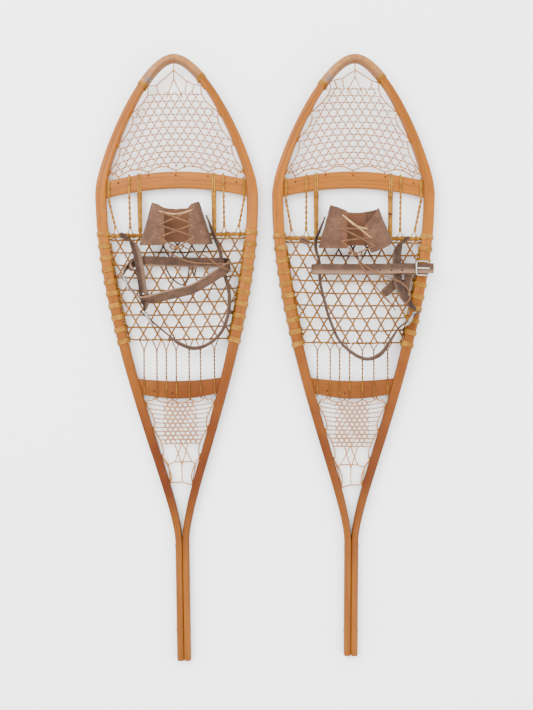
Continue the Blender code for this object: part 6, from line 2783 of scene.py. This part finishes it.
    def buckle(self, spot: BuckleSpot) -> None:
        """Wire buckle with its prong, which turns on the heel bar.

        Args:
            spot: Where it sits.
        """
        centre, x, y, z = self.axes(spot)[:4]
        half_long, half_wide, corner, wire = 0.013, 0.01375, 0.004, 0.0016
        loop = []
        for cx, cy, start in ((half_long - corner, half_wide - corner, 0),
                              (-half_long + corner, half_wide - corner, 90),
                              (-half_long + corner, -half_wide + corner, 180),
                              (half_long - corner, -half_wide + corner, 270)):
            for k in range(7):
                angle = math.radians(start + 15 * k)
                loop.append(centre + x * (cx + corner * math.cos(angle)) + y
                            * (cy + corner * math.sin(angle)))
        fine = []
        for a, b in zip(loop, loop[1:] + loop[:1]):
            count = max(1, round((b - a).length / 0.003))
            fine += [a.lerp(b, k / count) for k in range(count)]
        stock = Stock()
        stock.strand(fine, round_section(wire, 12), [z], closed=True)
        self.dress(f"{spot.name}_buckle_wire", stock, self.wardrobe.steel, Slot.STEEL,
                   [f"{spot.name}_buckle"])
        bar = centre - x * half_long
        radius = wire + 0.0003 + 0.0008
        path = [bar + (x * math.cos(t) + z * math.sin(t)) * radius
                for t in (math.radians(-30 - 15 * k) for k in range(17))]
        path += [bar + x * d + z * radius for d in (0.004, 0.008, 0.013, 0.018, 0.023, 0.0262, 0.0274)]
        stock = Stock()
        rings = []
        fine = evenly(path, 0.0010)
        for i, p in enumerate(fine):
            run = (fine[min(i + 1, len(fine) - 1)] - fine[max(i - 1, 0)]).normalized()
            face = run.cross(y).normalized()
            slim = 0.62 + 0.38 * min(1.0, (len(fine) - 1 - i) / 7)
            rings.append([p + y * (a * slim) + face * b for a,
                          b in rounded_section(0.0017, 0.0008, 0.0006, 2)])
        stock.loft(rings)
        node = f"{spot.name}_prong"
        self.dress(node + "_wire", stock, self.wardrobe.steel, Slot.STEEL, [node],
                   self.plan.foot.named(node))


# ---------------------------------------------------------------- studio


@dataclass
class Studio:
    """Camera above the pair, pale floor and soft light."""

    height: float = 2.010
    at: tuple[float, float] = (0.003, 0.0085)
    lens: float = 50.0
    floor: float = 6.0
    floor_grey: float = 0.93
    sky: float = 3.0
    lamp: float = 130.0

    def place_camera(self) -> None:
        """Hang the camera straight above, with the toes at the top of the frame."""
        data = bpy.data.cameras.new("overhead")
        data.lens = self.lens
        data.sensor_width = 36.0
        data.clip_start = 0.05
        data.clip_end = 30.0
        camera = bpy.data.objects.new("overhead", data)
        camera.location = (self.at[0], self.at[1], self.height)
        bpy.context.scene.collection.objects.link(camera)
        bpy.context.scene.camera = camera

    def build(self) -> None:
        """Lay the floor and hang the lights."""
        half = self.floor / 2
        mesh = bpy.data.meshes.new("floor")
        mesh.from_pydata([(-half, -half, 0), (half, -half, 0), (half, half, 0), (-half, half, 0)], [],
                         [(0, 1, 2, 3)])
        floor = bpy.data.objects.new("floor", mesh)
        floor.location.z = -0.0005
        bpy.context.scene.collection.objects.link(floor)
        work = Dresser("floor_paper")
        g = work.graph
        cloud = work.effect(Effect.mottle(), g.position(), Size=3.0, Grain=300.0)
        pale = (self.floor_grey,) * 3
        shade = g.mix(g.math("MULTIPLY", cloud.outputs["Grain"], 0.03), pale, (0.85, 0.85, 0.85))
        rough = g.band(cloud.outputs["Grain"], 0.3, 0.7, 0.9, 1.0)
        mesh.materials.append(work.finish(shade, rough, cloud.outputs["Grain"], 0.05, 0.0001))
        world = bpy.data.worlds.new("sky")
        world.use_nodes = True
        world.node_tree.nodes["Background"].inputs["Color"].default_value = (1, 1, 1, 1)
        world.node_tree.nodes["Background"].inputs["Strength"].default_value = self.sky
        bpy.context.scene.world = world
        for name, spot, size, power in (("key", (-1.3, 1.2, 2.4), 1.8, self.lamp),
                                        ("fill", (1.6, -0.6, 2.6), 2.4, self.lamp * 0.45)):
            data = bpy.data.lights.new(name, "AREA")
            data.size = size
            data.energy = power
            lamp = bpy.data.objects.new(name, data)
            lamp.location = spot
            lamp.rotation_euler = (-Vector(spot)).to_track_quat("-Z", "Y").to_euler()
            bpy.context.scene.collection.objects.link(lamp)


def main() -> None:
    """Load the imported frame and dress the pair."""
    logging.basicConfig(level=logging.INFO, format="%(name)s: %(message)s")
    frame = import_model()
    studio = Studio()
    studio.place_camera()
    plans = [ShoePlan(Foot.LEFT, frame["record"]),
             ShoePlan(Foot.RIGHT, frame["record"], trim=RIGHT_TRIM, web_shift=RIGHT_WEB_SHIFT)]
    stains = tuple(tuple(plan.row(Vector((-0.052, 1.172, plan.mid(1.172) + 0.008)))) for plan in plans)
    soles = tuple(tuple(plan.row(Vector((0.004, 0.836, 0.018)))) for plan in plans)
    wardrobe = Wardrobe(stains, soles)
    for plan, spec in zip(plans, (LEFT_SPEC, RIGHT_SPEC)):
        Binding(plan, wardrobe, spec).build()
    for plan in plans:
        for made in (WoodWork(plan, wardrobe), TipCover(plan, wardrobe), RailLashings(plan, wardrobe),
                     MasterCord(plan, wardrobe), ToeCords(plan, wardrobe), BodyWeb(plan, wardrobe),
                     FineNet(plan, wardrobe, Net.TOE), FineNet(plan, wardrobe, Net.HEEL),
                     Rivets(plan, wardrobe)):
            made.build()
    studio.build()


if __name__ == "__main__":
    main()
